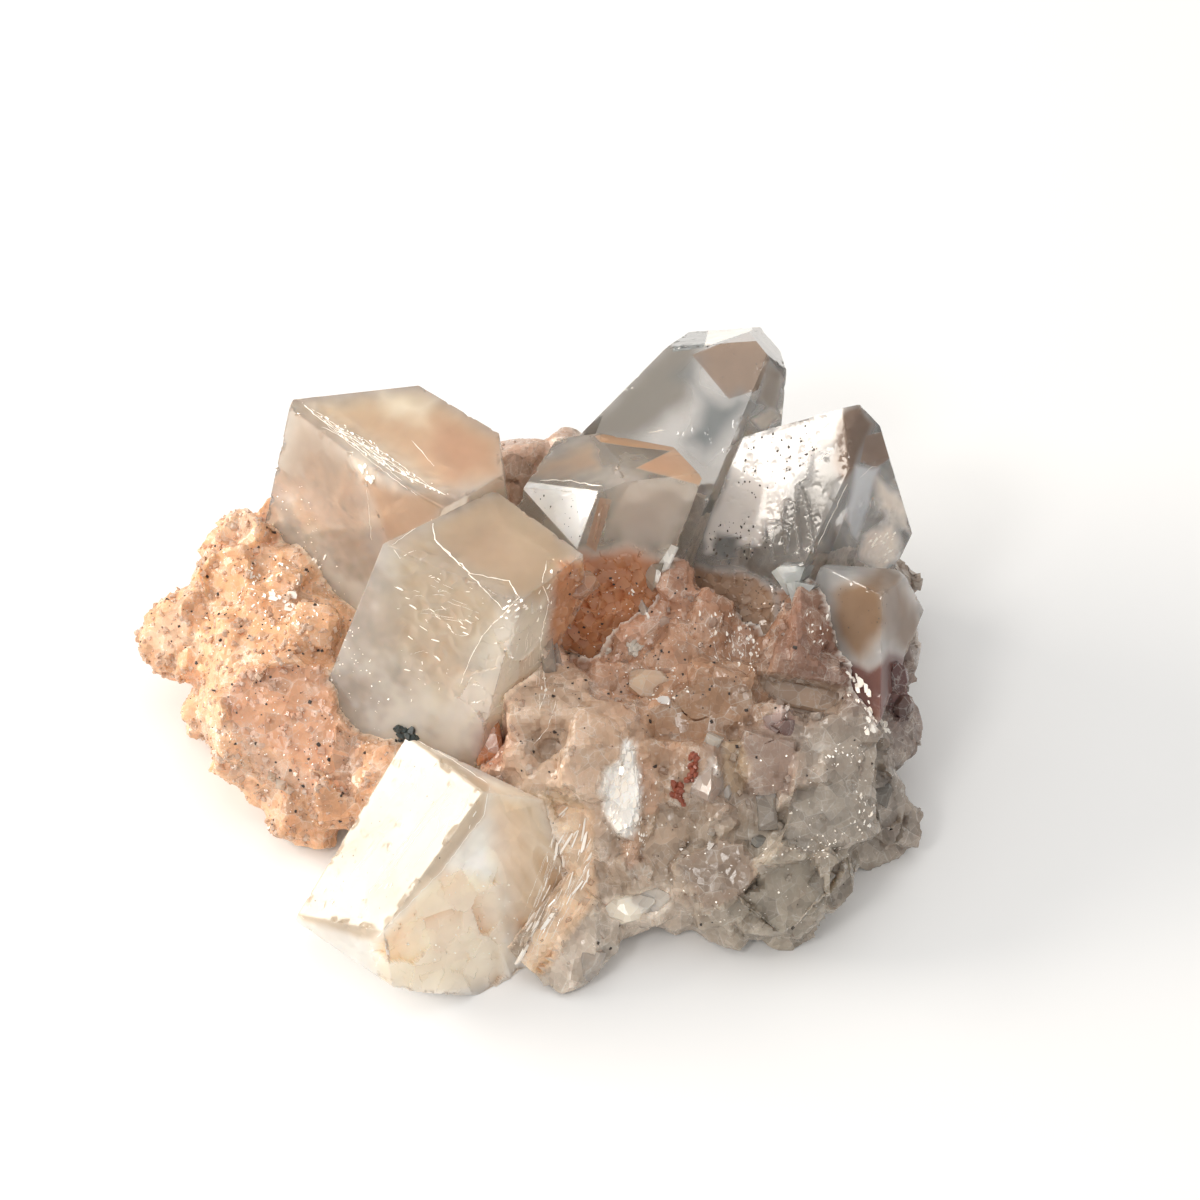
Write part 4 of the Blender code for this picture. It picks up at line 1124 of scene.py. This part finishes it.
def crystal_material(name, colour, roughness, absorption, density):
    """Clear crystal with soft haze, fine ripples on its faces and absorption inside."""
    finish = Finish(name)
    cloud = finish.noise(7.0, 3.0, 0.5, 0.3)
    finish.surface({
        "Base Color": finish.mixed(1.0, finish.tint["Color"], colour, "MULTIPLY"),
        "Transmission Weight": finish.mapped(finish.tint["Alpha"], 0.0, 1.0, 1.0, 0.0),
        "Roughness": finish.mapped(cloud, 0.4, 0.7, *roughness),
        "IOR": 1.53,
        "Subsurface Weight": 0.5,
        "Subsurface Radius": (1.0, 0.85, 0.7),
        "Subsurface Scale": 9 * MM,
        "Normal": finish.bump(finish.noise(0.6, 4.0, 0.6), 0.02, 0.2),
    })
    inside = finish.add("VolumeAbsorption", {"Color": absorption, "Density": density})
    finish.feed(finish.material.node_tree.nodes["Material Output"].inputs["Volume"], inside.outputs["Volume"])
    return finish.material


def standing_material():
    """Clear and pale small crystals with veils, little facets and fine striations."""
    finish = Finish("standing_crystal")
    cloud = finish.noise(1.6, 4.0, 0.6, 0.5)
    veils = finish.noise(0.9, 6.0, 0.7, 1.4)
    tone, lean, rim = finish.cells(1.3, (1.0, 0.7, 1.2))
    colour = finish.toned(finish.tint["Color"], tone, 0.76, 1.14)
    colour = finish.mixed(finish.mapped(veils, 0.54, 0.68, 0.0, 0.35), colour, (0.96, 0.90, 0.84))
    colour = finish.mixed(finish.mapped(rim, 0.0, 0.04, 0.30, 0.0), colour, (0.98, 0.94, 0.88))
    finish.surface({
        "Base Color": colour,
        "Roughness": finish.mapped(cloud, 0.35, 0.7, 0.05, 0.20),
        "Transmission Weight": finish.mapped(finish.tint["Alpha"], 0.3, 1.0, 0.0, 0.75),
        "IOR": 1.53,
        "Subsurface Weight": 0.5,
        "Subsurface Radius": (1.0, 0.8, 0.65),
        "Subsurface Scale": 3 * MM,
        "Normal": finish.bump(finish.noise(0.3, 3.0, 0.6), 0.03, 0.3, finish.leaned((lean, 0.30))),
    })
    return finish.material


def druse_material(name, transmission):
    """Small crystals: the crust's colour, but paler, glossier and more see-through."""
    finish = Finish(name)
    mottle = finish.noise(1.2)
    pale = finish.mapped(mottle, 0.35, 0.7, 0.15, 0.7)
    finish.surface({
        "Base Color": finish.mixed(pale, finish.tint["Color"], (0.95, 0.86, 0.76)),
        "Roughness": finish.mapped(mottle, 0.3, 0.7, 0.06, 0.22),
        "Transmission Weight": transmission,
        "IOR": 1.52,
    })
    return finish.material


def gleam_material():
    """Bright cleavage: pale, glossy and a little pearly."""
    finish = Finish("cleavage_gleam")
    cloud = finish.noise(0.8)
    finish.surface({
        "Base Color": finish.mixed(finish.mapped(cloud, 0.35, 0.65, 0.0, 1.0),
                                   (1.0, 0.90, 0.78), (1.0, 0.96, 0.90)),
        "Roughness": finish.mapped(cloud, 0.35, 0.65, 0.08, 0.22),
        "IOR": 1.6,
    })
    return finish.material


def plain_material(name, colour, roughness, size=0.6, depth=0.05, transmission=0.0):
    """A small solid finish with a little mottling and grain."""
    finish = Finish(name)
    grain = finish.noise(size, 3.0, 0.6)
    darker = tuple(0.6 * channel for channel in colour)
    finish.surface({
        "Base Color": finish.mixed(finish.mapped(grain, 0.35, 0.65, 0.6, 0.0), colour, darker),
        "Roughness": finish.mapped(grain, 0.3, 0.7, roughness * 0.7, roughness * 1.4),
        "Transmission Weight": transmission,
        "IOR": 1.5,
        "Normal": finish.bump(grain, depth, 0.4),
    })
    return finish.material


# Small crystals, modelled once and copied.

def mould(name):
    """Corners and faces of a small crystal: a block with flat cuts, whose object is removed."""
    size, cuts = SHAPES[name]
    select_only()
    bpy.ops.mesh.primitive_cube_add(size=1.0, location=(0, 0, 0))
    thing = bpy.context.object
    edit_all(thing)
    bpy.ops.transform.resize(value=tuple(side * MM for side in size))
    for normal, share in cuts:
        axis = Vector(normal).normalized()
        reach = sum(abs(axis[i]) * size[i] for i in range(3)) * MM / 2
        bpy.ops.mesh.select_all(action="SELECT")
        bpy.ops.mesh.bisect(plane_co=tuple(axis * reach * share), plane_no=tuple(axis), use_fill=True,
                            clear_outer=True, threshold=1e-7)
    bpy.ops.mesh.select_all(action="SELECT")
    bpy.ops.mesh.normals_make_consistent(inside=False)
    bpy.ops.object.mode_set(mode="OBJECT")
    corners = np.array([vertex.co[:] for vertex in thing.data.vertices])
    faces = [list(face.vertices) for face in thing.data.polygons]
    bpy.data.objects.remove(thing)
    return corners, faces


def joined(name, pieces):
    """One mesh object made of many small shapes, each (corners, faces), kept above the floor."""
    corners, faces, first = [], [], 0
    for points, sides in pieces:
        corners.append(points)
        faces += [[first + index for index in side] for side in sides]
        first += len(points)
    places = np.concatenate(corners)
    places[:, 2] = np.maximum(places[:, 2], FLOOR_GAP)
    mesh = bpy.data.meshes.new(name)
    mesh.from_pydata(places.tolist(), [], faces)
    mesh.update()
    thing = bpy.data.objects.new(name, mesh)
    bpy.context.scene.collection.objects.link(thing)
    return thing


def turn_to(axis, spin):
    """Rotation that points +Z along an axis, with a spin about it."""
    return np.array(axis.to_track_quat("Z", "Y").to_matrix() @ Matrix.Rotation(spin, 3, "Z"))


def sample_surface(thing, count, rng, wanted):
    """Random points on an object's mesh: (place, normal) rows, kept by a test on both."""
    mesh = thing.data
    mesh.calc_loop_triangles()
    corners = read_points(thing)[0]
    tris = np.empty(len(mesh.loop_triangles) * 3, np.int32)
    mesh.loop_triangles.foreach_get("vertices", tris)
    a, b, c = [corners[tris.reshape(-1, 3)[:, i]] for i in range(3)]
    cross = np.cross(b - a, c - a)
    area = np.linalg.norm(cross, axis=1)
    normal = cross / np.maximum(area, 1e-20)[:, None]
    weight = area * wanted((a + b + c) / 3, normal)
    chosen = rng.choice(len(weight), size=count, p=weight / weight.sum())
    u, v = rng.random(count), rng.random(count)
    flip = u + v > 1
    u[flip], v[flip] = 1 - u[flip], 1 - v[flip]
    places = a[chosen] + (b - a)[chosen] * u[:, None] + (c - a)[chosen] * v[:, None]
    return places, normal[chosen]


def dressed_surfaces():
    """Search trees over the crust and the crystals as they are dressed."""
    graph = bpy.context.evaluated_depsgraph_get()
    names = ["crust"] + [node + "_look" for node in CRYSTAL_LOOKS]
    return [BVHTree.FromObject(bpy.data.objects[name], graph) for name in names]


def dressed_at(surfaces, x, y):
    """Point and normal where a line of sight first meets the dressed cluster, or None beside it."""
    start, towards = sight_line(x, y)
    hits = [surface.ray_cast(start, towards) for surface in surfaces]
    hits = [hit for hit in hits if hit[0] is not None]
    if not hits:
        return None
    point, normal, _, _ = min(hits, key=lambda hit: hit[3])
    return point, normal if normal.dot(towards) < 0 else -normal


def view_direction(across, down, normal):
    """The direction on a plane that runs a given way in the view."""
    right, up, _ = view_axes()
    line = right * across - up * down
    return (line - normal * line.dot(normal)).normalized()


def set_on(corners, size, point, normal, along):
    """A small shape turned and stretched: its length lies along a direction, its top along a normal."""
    return (corners * np.array(size)) @ np.array([along, normal.cross(along), normal]) + np.array(point)


def random_in(outline, rng):
    """A random point inside an outline of the view."""
    corners = np.array(outline, float)
    low, high = corners.min(axis=0), corners.max(axis=0)
    while True:
        point = rng.uniform(low, high)
        if outline_mask(point[:1], point[1:], outline, 0.01)[0] > 0.5:
            return point


def random_size(span, power, rng):
    """A random size in a span, more often small than large."""
    return span[0] + (span[1] - span[0]) * rng.random() ** power


def crack(points, normals, width, rng):
    """A thin raised line along points of a surface: a diamond section swept along."""
    corners, faces = [], []
    last = len(points) - 1
    for index, (point, normal) in enumerate(zip(points, normals)):
        ahead = points[min(index + 1, last)] - points[max(index - 1, 0)]
        side = normal.cross(ahead).normalized()
        half = width * MM * (0.15 if index in (0, last) else rng.uniform(0.3, 0.75))
        for offset in (-side * half, normal * half * 0.8, side * half, -normal * half):
            corners.append(point + offset)
    for first in range(0, 4 * last, 4):
        for corner in range(4):
            after = (corner + 1) % 4
            faces.append([first + corner, first + after, first + 4 + after, first + 4 + corner])
    faces.append([3, 2, 1, 0])
    faces.append([4 * last + corner for corner in range(4)])
    return np.array(corners), faces


def crack_along(surfaces, line, width, rng):
    """A crack drawn over the dressed crystals along a line of the view, or None beside them."""
    points, normals = [], []
    for (ax, ay), (bx, by) in zip(line, line[1:]):
        count = max(1, int(math.hypot(bx - ax, by - ay) / 4))
        for step in range(count):
            x = ax + (bx - ax) * step / count + rng.normal(0, 0.35)
            y = ay + (by - ay) * step / count + rng.normal(0, 0.35)
            hit = dressed_at(surfaces, x, y)
            if hit is None or (points and (hit[0] - points[-1]).length > 3 * MM):
                continue
            points.append(hit[0])
            normals.append(hit[1])
    return crack(points, normals, width, rng) if len(points) >= 3 else None


def feather_line(start, end, rng):
    """A bowed line of the view between two edges of a feather, somewhere along it."""
    (ax, ay), (bx, by) = start
    (cx, cy), (dx, dy) = end
    t = rng.random()
    low, high = sorted(rng.uniform(0, 1, 2))
    bow = rng.normal(0, 2.5)
    line = []
    for step in range(6):
        u = low + (high - low) * step / 5
        x = (ax + (bx - ax) * t) * (1 - u) + (cx + (dx - cx) * t) * u
        y = (ay + (by - ay) * t) * (1 - u) + (cy + (dy - cy) * t) * u
        line.append((x, y + bow * math.sin(math.pi * u)))
    return line


# Settings that a user would change.

class ZeoliteSizes(bpy.types.PropertyGroup):
    """Sizes of the crystals' and crust's fine forms."""
    crust_edge: FloatProperty(
        name="Crust edge", description="Size of the crust's mesh",
        default=0.55 * MM, min=0.3 * MM, unit="LENGTH", precision=5)
    crust_wear: IntProperty(
        name="Crust wear", description="Rounds of smoothing of the crust's corners",
        default=5, min=0, max=60)
    crystal_edge: FloatProperty(
        name="Crystal edge", description="Longest mesh edge of a big crystal",
        default=0.5 * MM, min=0.2 * MM, unit="LENGTH", precision=5)
    edge_round: FloatProperty(
        name="Edge rounding", description="Width of the worn edge between crystal faces",
        default=0.16 * MM, min=0.0, unit="LENGTH", precision=5)
    peach_grain: FloatProperty(
        name="Peach grain", description="Size of the fine facets of the peach crust",
        default=1.5 * MM, min=0.3 * MM, unit="LENGTH", precision=5)
    grey_grain: FloatProperty(
        name="Grey grain", description="Size of the broken facets of the grey crust",
        default=3.6 * MM, min=0.3 * MM, unit="LENGTH", precision=5)
    peach_count: IntProperty(
        name="Peach crystals", description="Small crystals on the peach crust", default=2600, min=0)
    grey_count: IntProperty(
        name="Grey crystals", description="Small crystals on the grey crust", default=500, min=0)
    speck_count: IntProperty(
        name="Dark specks", description="Dark specks on the crust", default=700, min=0)


class ZeoliteColours(bpy.types.PropertyGroup):
    """Colours of the crystals and the light."""
    smoky: FloatVectorProperty(
        name="Smoky crystal", description="Tint of the grey crystals",
        subtype="COLOR", default=(0.80, 0.78, 0.76), min=0, max=1)
    clear: FloatVectorProperty(
        name="Clear crystal", description="Tint of the clear crystals",
        subtype="COLOR", default=(0.98, 0.88, 0.78), min=0, max=1)
    cream: FloatVectorProperty(
        name="Cream crystal", description="Tint of the milky front crystal",
        subtype="COLOR", default=(1.0, 0.92, 0.84), min=0, max=1)
    key_light: FloatVectorProperty(
        name="Key light", description="Colour of the light from the left",
        subtype="COLOR", default=(1.0, 0.93, 0.84), min=0, max=1)


class ZeoliteSettings(bpy.types.PropertyGroup):
    """All settings of the cluster."""
    sizes: PointerProperty(type=ZeoliteSizes)
    colours: PointerProperty(type=ZeoliteColours)


class OBJECT_OT_zeolite_mass(bpy.types.Operator):
    """Build the crust that everything stands in"""
    bl_idname = "object.zeolite_mass"
    bl_label = "Crust"

    def execute(self, context):
        sizes = context.scene.zeolite.sizes
        mass = copy_of_node("matrix", "crust")
        wear_skin(mass, sizes)
        places, normals = read_points(mass)
        moved, flat = on_flat_faces(places, normals)
        heights = crust_heights(moved, flat, sizes)[:, None]
        nearest = [CRYSTAL_SURFACES.find_nearest(Vector(place)) for place in places]
        near = np.array([hit[3] for hit in nearest])
        towards = np.array([hit[0] for hit in nearest]) - places
        towards /= np.maximum(near, 1e-9)[:, None]
        free = (steps(near, 0.45 * MM, 1.3 * MM) * steps(places[:, 2], 0.1 * MM, 1.5 * MM))[:, None]
        places = places + (moved - places + normals * heights) * free
        places += towards * ((1 - steps(near, 0.5 * MM, 1.0 * MM)) * GROWN_IN)[:, None]
        places = np.clip(places, np.array(CAD_BOX[0]), np.array(CAD_BOX[1]))
        write_points(mass, places)
        paint(mass, crust_colours(places, normals))
        shade_flat_faces(mass, 17)
        finish_piece(mass, crust_material(), "matrix")
        return {"FINISHED"}


class OBJECT_OT_zeolite_crystals(bpy.types.Operator):
    """Build the big crystals"""
    bl_idname = "object.zeolite_crystals"
    bl_label = "Big crystals"

    def execute(self, context):
        sizes = context.scene.zeolite.sizes
        for node, (slot, colour, haze, roughness, absorption, density) in CRYSTAL_LOOKS.items():
            crystal = copy_of_node(node, node + "_look")
            edit_all(crystal)
            bpy.ops.mesh.dissolve_limited(angle_limit=math.radians(0.6))
            bpy.ops.object.mode_set(mode="OBJECT")
            corners = sharp_edge_points(crystal)
            for outline, _, _, soft in CRYSTAL_PATCHES[node]:
                if soft < CRISP:
                    for first, second in zip(outline, outline[1:] + outline[:1]):
                        cut_along_sight(crystal, first, second)
            rounding = crystal.modifiers.new("worn edges", "BEVEL")
            rounding.width = sizes.edge_round
            rounding.segments = 2
            rounding.limit_method = "ANGLE"
            rounding.angle_limit = math.radians(5)
            apply_modifiers(crystal)
            refine(crystal, lambda middles, leans: crystal_mesh_size(node, middles, leans,
                                                                     sizes.crystal_edge))
            places, normals = read_points(crystal)
            heights = crystal_relief(node, places, normals) - edge_nicks(places, corners)
            moved = places + normals * heights[:, None]
            moved[:, 2] = np.maximum(moved[:, 2], CAD_BOX[0][2])
            write_points(crystal, moved)
            paint(crystal, crystal_tint(node, crystal, haze, heights), "CORNER")
            shade_flat_faces(crystal, 20)
            tint = tuple(getattr(context.scene.zeolite.colours, colour))
            material = crystal_material(node + "_glass", tint, roughness, absorption, density)
            finish_piece(crystal, material, node)
        return {"FINISHED"}


class OBJECT_OT_zeolite_druse(bpy.types.Operator):
    """Scatter the small crystals over the crust"""
    bl_idname = "object.zeolite_druse"
    bl_label = "Druse"

    def execute(self, context):
        sizes = context.scene.zeolite.sizes
        moulds = [mould(name) for name in DRUSE_SHAPES]
        rng = np.random.RandomState(7)

        def scatter(name, count, low, high, facing_left, span, lean, transmission):
            """Small crystals on one side of the crust, thinning out between two distances in mm."""
            def side(places, normals):
                across = -places[:, 0] if facing_left else places[:, 0]
                return steps(across, low * MM, high * MM) * (normals[:, 2] > -0.4) * (places[:, 2] > 1.5 * MM)

            pieces, kept, leans = [], [], []
            for place, normal in zip(*sample_surface(bpy.data.objects["crust"], count, rng, side)):
                if CRYSTAL_SURFACES.find_nearest(Vector(place))[3] < 0.9 * MM:
                    continue
                size = random_size(span, 2.2, rng)
                corners, faces = moulds[rng.randint(len(moulds))]
                axis = (Vector(normal) + Vector(rng.uniform(-lean, lean, 3))).normalized()
                turn = turn_to(axis, rng.uniform(0, 6.28))
                stretch = size * rng.uniform(0.75, 1.25, 3)
                pieces.append(((corners * stretch) @ turn.T + place - normal * size * 0.1 * MM, faces))
                kept.append(place)
                leans.append(normal)
            druse = joined(name, pieces)
            tones = crust_colours(np.array(kept), np.array(leans))
            paint(druse, np.repeat(tones, [len(corners) for corners, _ in pieces], axis=0))
            finish_piece(druse, druse_material(name, transmission))

        scatter("peach_druse", sizes.peach_count, 2, 12, True, (0.2, 0.8), 0.5, 0.35)
        scatter("grey_druse", sizes.grey_count, -14, -2, False, (0.25, 1.0), 0.7, 0.55)
        return {"FINISHED"}


class OBJECT_OT_zeolite_fractures(bpy.types.Operator):
    """Lay the bright cleavage plates and the hairline cracks"""
    bl_idname = "object.zeolite_fractures"
    bl_label = "Fractures"

    def execute(self, context):
        rng = np.random.RandomState(31)
        surfaces = dressed_surfaces()
        shapes = [mould(name) for name in PLATE_SHAPES]
        mirror = direction(-156, 50)
        pieces = []
        for outline, count, span, stretch, lie in CLEAVAGE_PLATES.values():
            for _ in range(count):
                hit = dressed_at(surfaces, *random_in(outline, rng))
                if hit is None:
                    continue
                length = random_size(span, 1.8, rng)
                normal = (mirror + Vector(rng.normal(0, 0.085, 3))).normalized()
                if normal.dot(hit[1]) < 0.25 or length > 0.8:
                    normal = (normal + hit[1] * 0.9).normalized()
                along = view_direction(lie[0] + rng.normal(0, 0.25), lie[1] + rng.normal(0, 0.25), normal)
                corners, faces = shapes[rng.randint(len(shapes))]
                size = (length, length / stretch * rng.uniform(0.7, 1.3), max(0.35, length * 0.8))
                pieces.append((set_on(corners, size, hit[0], normal, along), faces))
        finish_piece(joined("cleavage_plates", pieces), gleam_material())

        cracks = [crack_along(surfaces, line, width, rng) for line, width in HAIRLINES]
        for start, end, count, width in FEATHERS:
            for _ in range(count):
                cracks.append(crack_along(surfaces, feather_line(start, end, rng), width, rng))
        cracks = [each for each in cracks if each is not None]
        finish_piece(joined("hairline_cracks", cracks), gleam_material())
        return {"FINISHED"}


class OBJECT_OT_zeolite_standing(bpy.types.Operator):
    """Set the small crystals that stand out, the dark cluster and the white ball"""
    bl_idname = "object.zeolite_standing"
    bl_label = "Standing crystals"

    def execute(self, context):
        rng = np.random.RandomState(5)
        surfaces = dressed_surfaces()
        shapes = {name: mould(name) for name in ("bar", "lozenge", "wedge", "flake", "prism")}
        pieces, tones = [], []
        for shape, x, y, size, face, lie, depth, colour, glassy in STANDING_CRYSTALS.values():
            normal = direction(*face)
            point = dressed_at(surfaces, x, y)[0] - normal * depth * MM
            corners, faces = shapes[shape]
            pieces.append((set_on(corners, size, point, normal, view_direction(*lie, normal)), faces))
            tones.append(np.tile((*colour, glassy), (len(corners), 1)))
        standing = joined("standing_crystals", pieces)
        paint(standing, np.concatenate(tones))
        finish_piece(standing, standing_material())

        def clump(name, middle, spread, count, span, material):
            """A little heap of crystals about a point of the view."""
            grains = []
            for _ in range(count):
                x, y = middle[0] + rng.normal(0, spread[0]), middle[1] + rng.normal(0, spread[1])
                hit = dressed_at(surfaces, x, y)
                size = rng.uniform(*span)
                corners, faces = shapes["lozenge"]
                lean = (hit[1] + Vector(rng.normal(0, 0.5, 3))).normalized()
                along = view_direction(rng.normal(), rng.normal(), lean)
                grains.append((set_on(corners, (size, size * 0.8, size), hit[0], lean, along), faces))
            finish_piece(joined(name, grains), material)

        dark_green = plain_material("dark_green_crystal", (0.030, 0.040, 0.038), 0.25, 0.5, 0.04)
        clump("dark_cluster", (407, 733), (6, 3), 16, (0.5, 1.2), dark_green)
        chalk = plain_material("white_ball", (0.72, 0.66, 0.58), 0.4, 0.4, 0.06)
        clump("white_ball", (635, 648), (2.6, 2.6), 26, (0.35, 0.8), chalk)
        clump("second_ball", (609, 651), (1.6, 1.6), 10, (0.25, 0.5), chalk)
        eye = plain_material("dark_eye", (0.08, 0.08, 0.07), 0.3, 0.4, 0.04)
        clump("dark_eye", (761, 842), (1.2, 1.0), 5, (0.3, 0.6), eye)
        rust = plain_material("rust_spot", (0.42, 0.11, 0.06), 0.35, 0.5, 0.05, 0.3)
        clump("rust_spots", (692, 770), (3, 8), 16, (0.3, 0.8), rust)
        clump("lower_rust_spots", (679, 797), (4, 5), 18, (0.3, 0.9), rust)
        return {"FINISHED"}


class OBJECT_OT_zeolite_specks(bpy.types.Operator):
    """Scatter dark specks over the crust and the crystals"""
    bl_idname = "object.zeolite_specks"
    bl_label = "Dark specks"

    def execute(self, context):
        rng = np.random.RandomState(19)
        surfaces = dressed_surfaces()
        corners, faces = mould("speck")

        def side(places, normals):
            return (0.25 + steps(-places[:, 0], 0, 14 * MM)) * (normals[:, 2] > 0) * (places[:, 2] > 3 * MM)

        count = context.scene.zeolite.sizes.speck_count
        pieces = []
        for place, normal in zip(*sample_surface(bpy.data.objects["crust"], count, rng, side)):
            size = 0.14 + 0.36 * rng.random() ** 3
            turn = turn_to(Vector(normal), rng.uniform(0, 6.28))
            pieces.append(((corners * size) @ turn.T + place, faces))
        for outline, count, span in SPECKLED.values():
            for _ in range(count):
                hit = dressed_at(surfaces, *random_in(outline, rng))
                if hit is None:
                    continue
                size = random_size(span, 2, rng)
                along = view_direction(rng.normal(), rng.normal(), hit[1])
                pieces.append((set_on(corners, (size, size, size * 0.35), hit[0], hit[1], along), faces))
        material = plain_material("dark_speck", (0.045, 0.032, 0.025), 0.35)
        finish_piece(joined("dark_specks", pieces), material)
        return {"FINISHED"}


class OBJECT_OT_zeolite_stage(bpy.types.Operator):
    """Set the floor, the soft light and the camera"""
    bl_idname = "object.zeolite_stage"
    bl_label = "Stage"

    def execute(self, context):
        scene = context.scene
        select_only()
        bpy.ops.mesh.primitive_plane_add(size=6.0, location=(0, 0, 0))
        floor = context.object
        floor.name = "floor"
        pale = Finish("pale_floor")
        pale.surface({"Base Color": (0.92, 0.92, 0.92), "Roughness": 0.9, "Specular IOR Level": 0.1})
        floor.data.materials.append(pale.material)

        def softbox(name, heading, rise, distance, width, height, radiance, colour):
            """A soft lamp of a size in metres that shines on the cluster."""
            towards = direction(heading, rise)
            light = bpy.data.lights.new(name, "AREA")
            light.shape = "RECTANGLE"
            light.size = width
            light.size_y = height
            light.energy = radiance * math.pi * width * height
            light.color = colour
            lamp = bpy.data.objects.new(name, light)
            scene.collection.objects.link(lamp)
            lamp.location = Vector((0, 0, 0.02)) + towards * distance
            lamp.rotation_euler = towards.to_track_quat("Z", "Y").to_euler()

        softbox("key_light", 166, 24, 0.6, 0.40, 0.20, 12, tuple(scene.zeolite.colours.key_light))
        softbox("top_light", 90, 80, 1.1, 0.9, 0.9, 0.9, (1.0, 0.99, 0.97))
        softbox("front_light", -130, 50, 0.7, 0.14, 0.14, 13, (1.0, 0.97, 0.93))

        world = bpy.data.worlds.new("studio")
        world.use_nodes = True
        world.node_tree.nodes["Background"].inputs["Color"].default_value = (1.0, 0.99, 0.97, 1)
        world.node_tree.nodes["Background"].inputs["Strength"].default_value = 0.66
        world.cycles.sampling_method = "NONE"
        scene.world = world

        camera = bpy.data.cameras.new("camera")
        camera.lens = LENS
        camera.sensor_width = SENSOR
        camera.clip_start = 0.01
        view = bpy.data.objects.new("camera", camera)
        scene.collection.objects.link(view)
        view.location = LOOK_AT + away_from_camera() * CAMERA_DISTANCE
        view.rotation_euler = away_from_camera().to_track_quat("Z", "Y").to_euler()
        scene.camera = view
        scene.view_settings.view_transform = "Standard"
        scene.view_settings.look = "None"
        scene.cycles.sample_clamp_indirect = 6.0
        scene.cycles.max_bounces = 7
        scene.cycles.diffuse_bounces = 3
        scene.cycles.transmission_bounces = 6
        scene.cycles.use_light_tree = False
        return {"FINISHED"}


OPERATORS = (
    OBJECT_OT_zeolite_mass,
    OBJECT_OT_zeolite_crystals,
    OBJECT_OT_zeolite_druse,
    OBJECT_OT_zeolite_fractures,
    OBJECT_OT_zeolite_standing,
    OBJECT_OT_zeolite_specks,
    OBJECT_OT_zeolite_stage,
)


class VIEW3D_PT_zeolite(bpy.types.Panel):
    """Settings and steps of the zeolite cluster"""
    bl_label = "Zeolite Cluster"
    bl_space_type = "VIEW_3D"
    bl_region_type = "UI"
    bl_category = "Zeolite"

    def draw(self, context):
        settings = context.scene.zeolite
        for group in (settings.sizes, settings.colours):
            box = self.layout.box()
            for name in group.__annotations__:
                box.prop(group, name)
        for operator in OPERATORS:
            self.layout.operator(operator.bl_idname)


CLASSES = (ZeoliteSizes, ZeoliteColours, ZeoliteSettings, *OPERATORS, VIEW3D_PT_zeolite)


def register():
    """Add the classes and the settings to Blender."""
    for item in CLASSES:
        bpy.utils.register_class(item)
    bpy.types.Scene.zeolite = PointerProperty(type=ZeoliteSettings)


def unregister():
    """Take the classes and the settings out again."""
    del bpy.types.Scene.zeolite
    for item in reversed(CLASSES):
        bpy.utils.unregister_class(item)


def main():
    """Build everything in order."""
    register()
    bpy.ops.object.zeolite_mass()
    bpy.ops.object.zeolite_crystals()
    bpy.ops.object.zeolite_druse()
    bpy.ops.object.zeolite_fractures()
    bpy.ops.object.zeolite_standing()
    bpy.ops.object.zeolite_specks()
    bpy.ops.object.zeolite_stage()


if __name__ == "__main__":
    main()
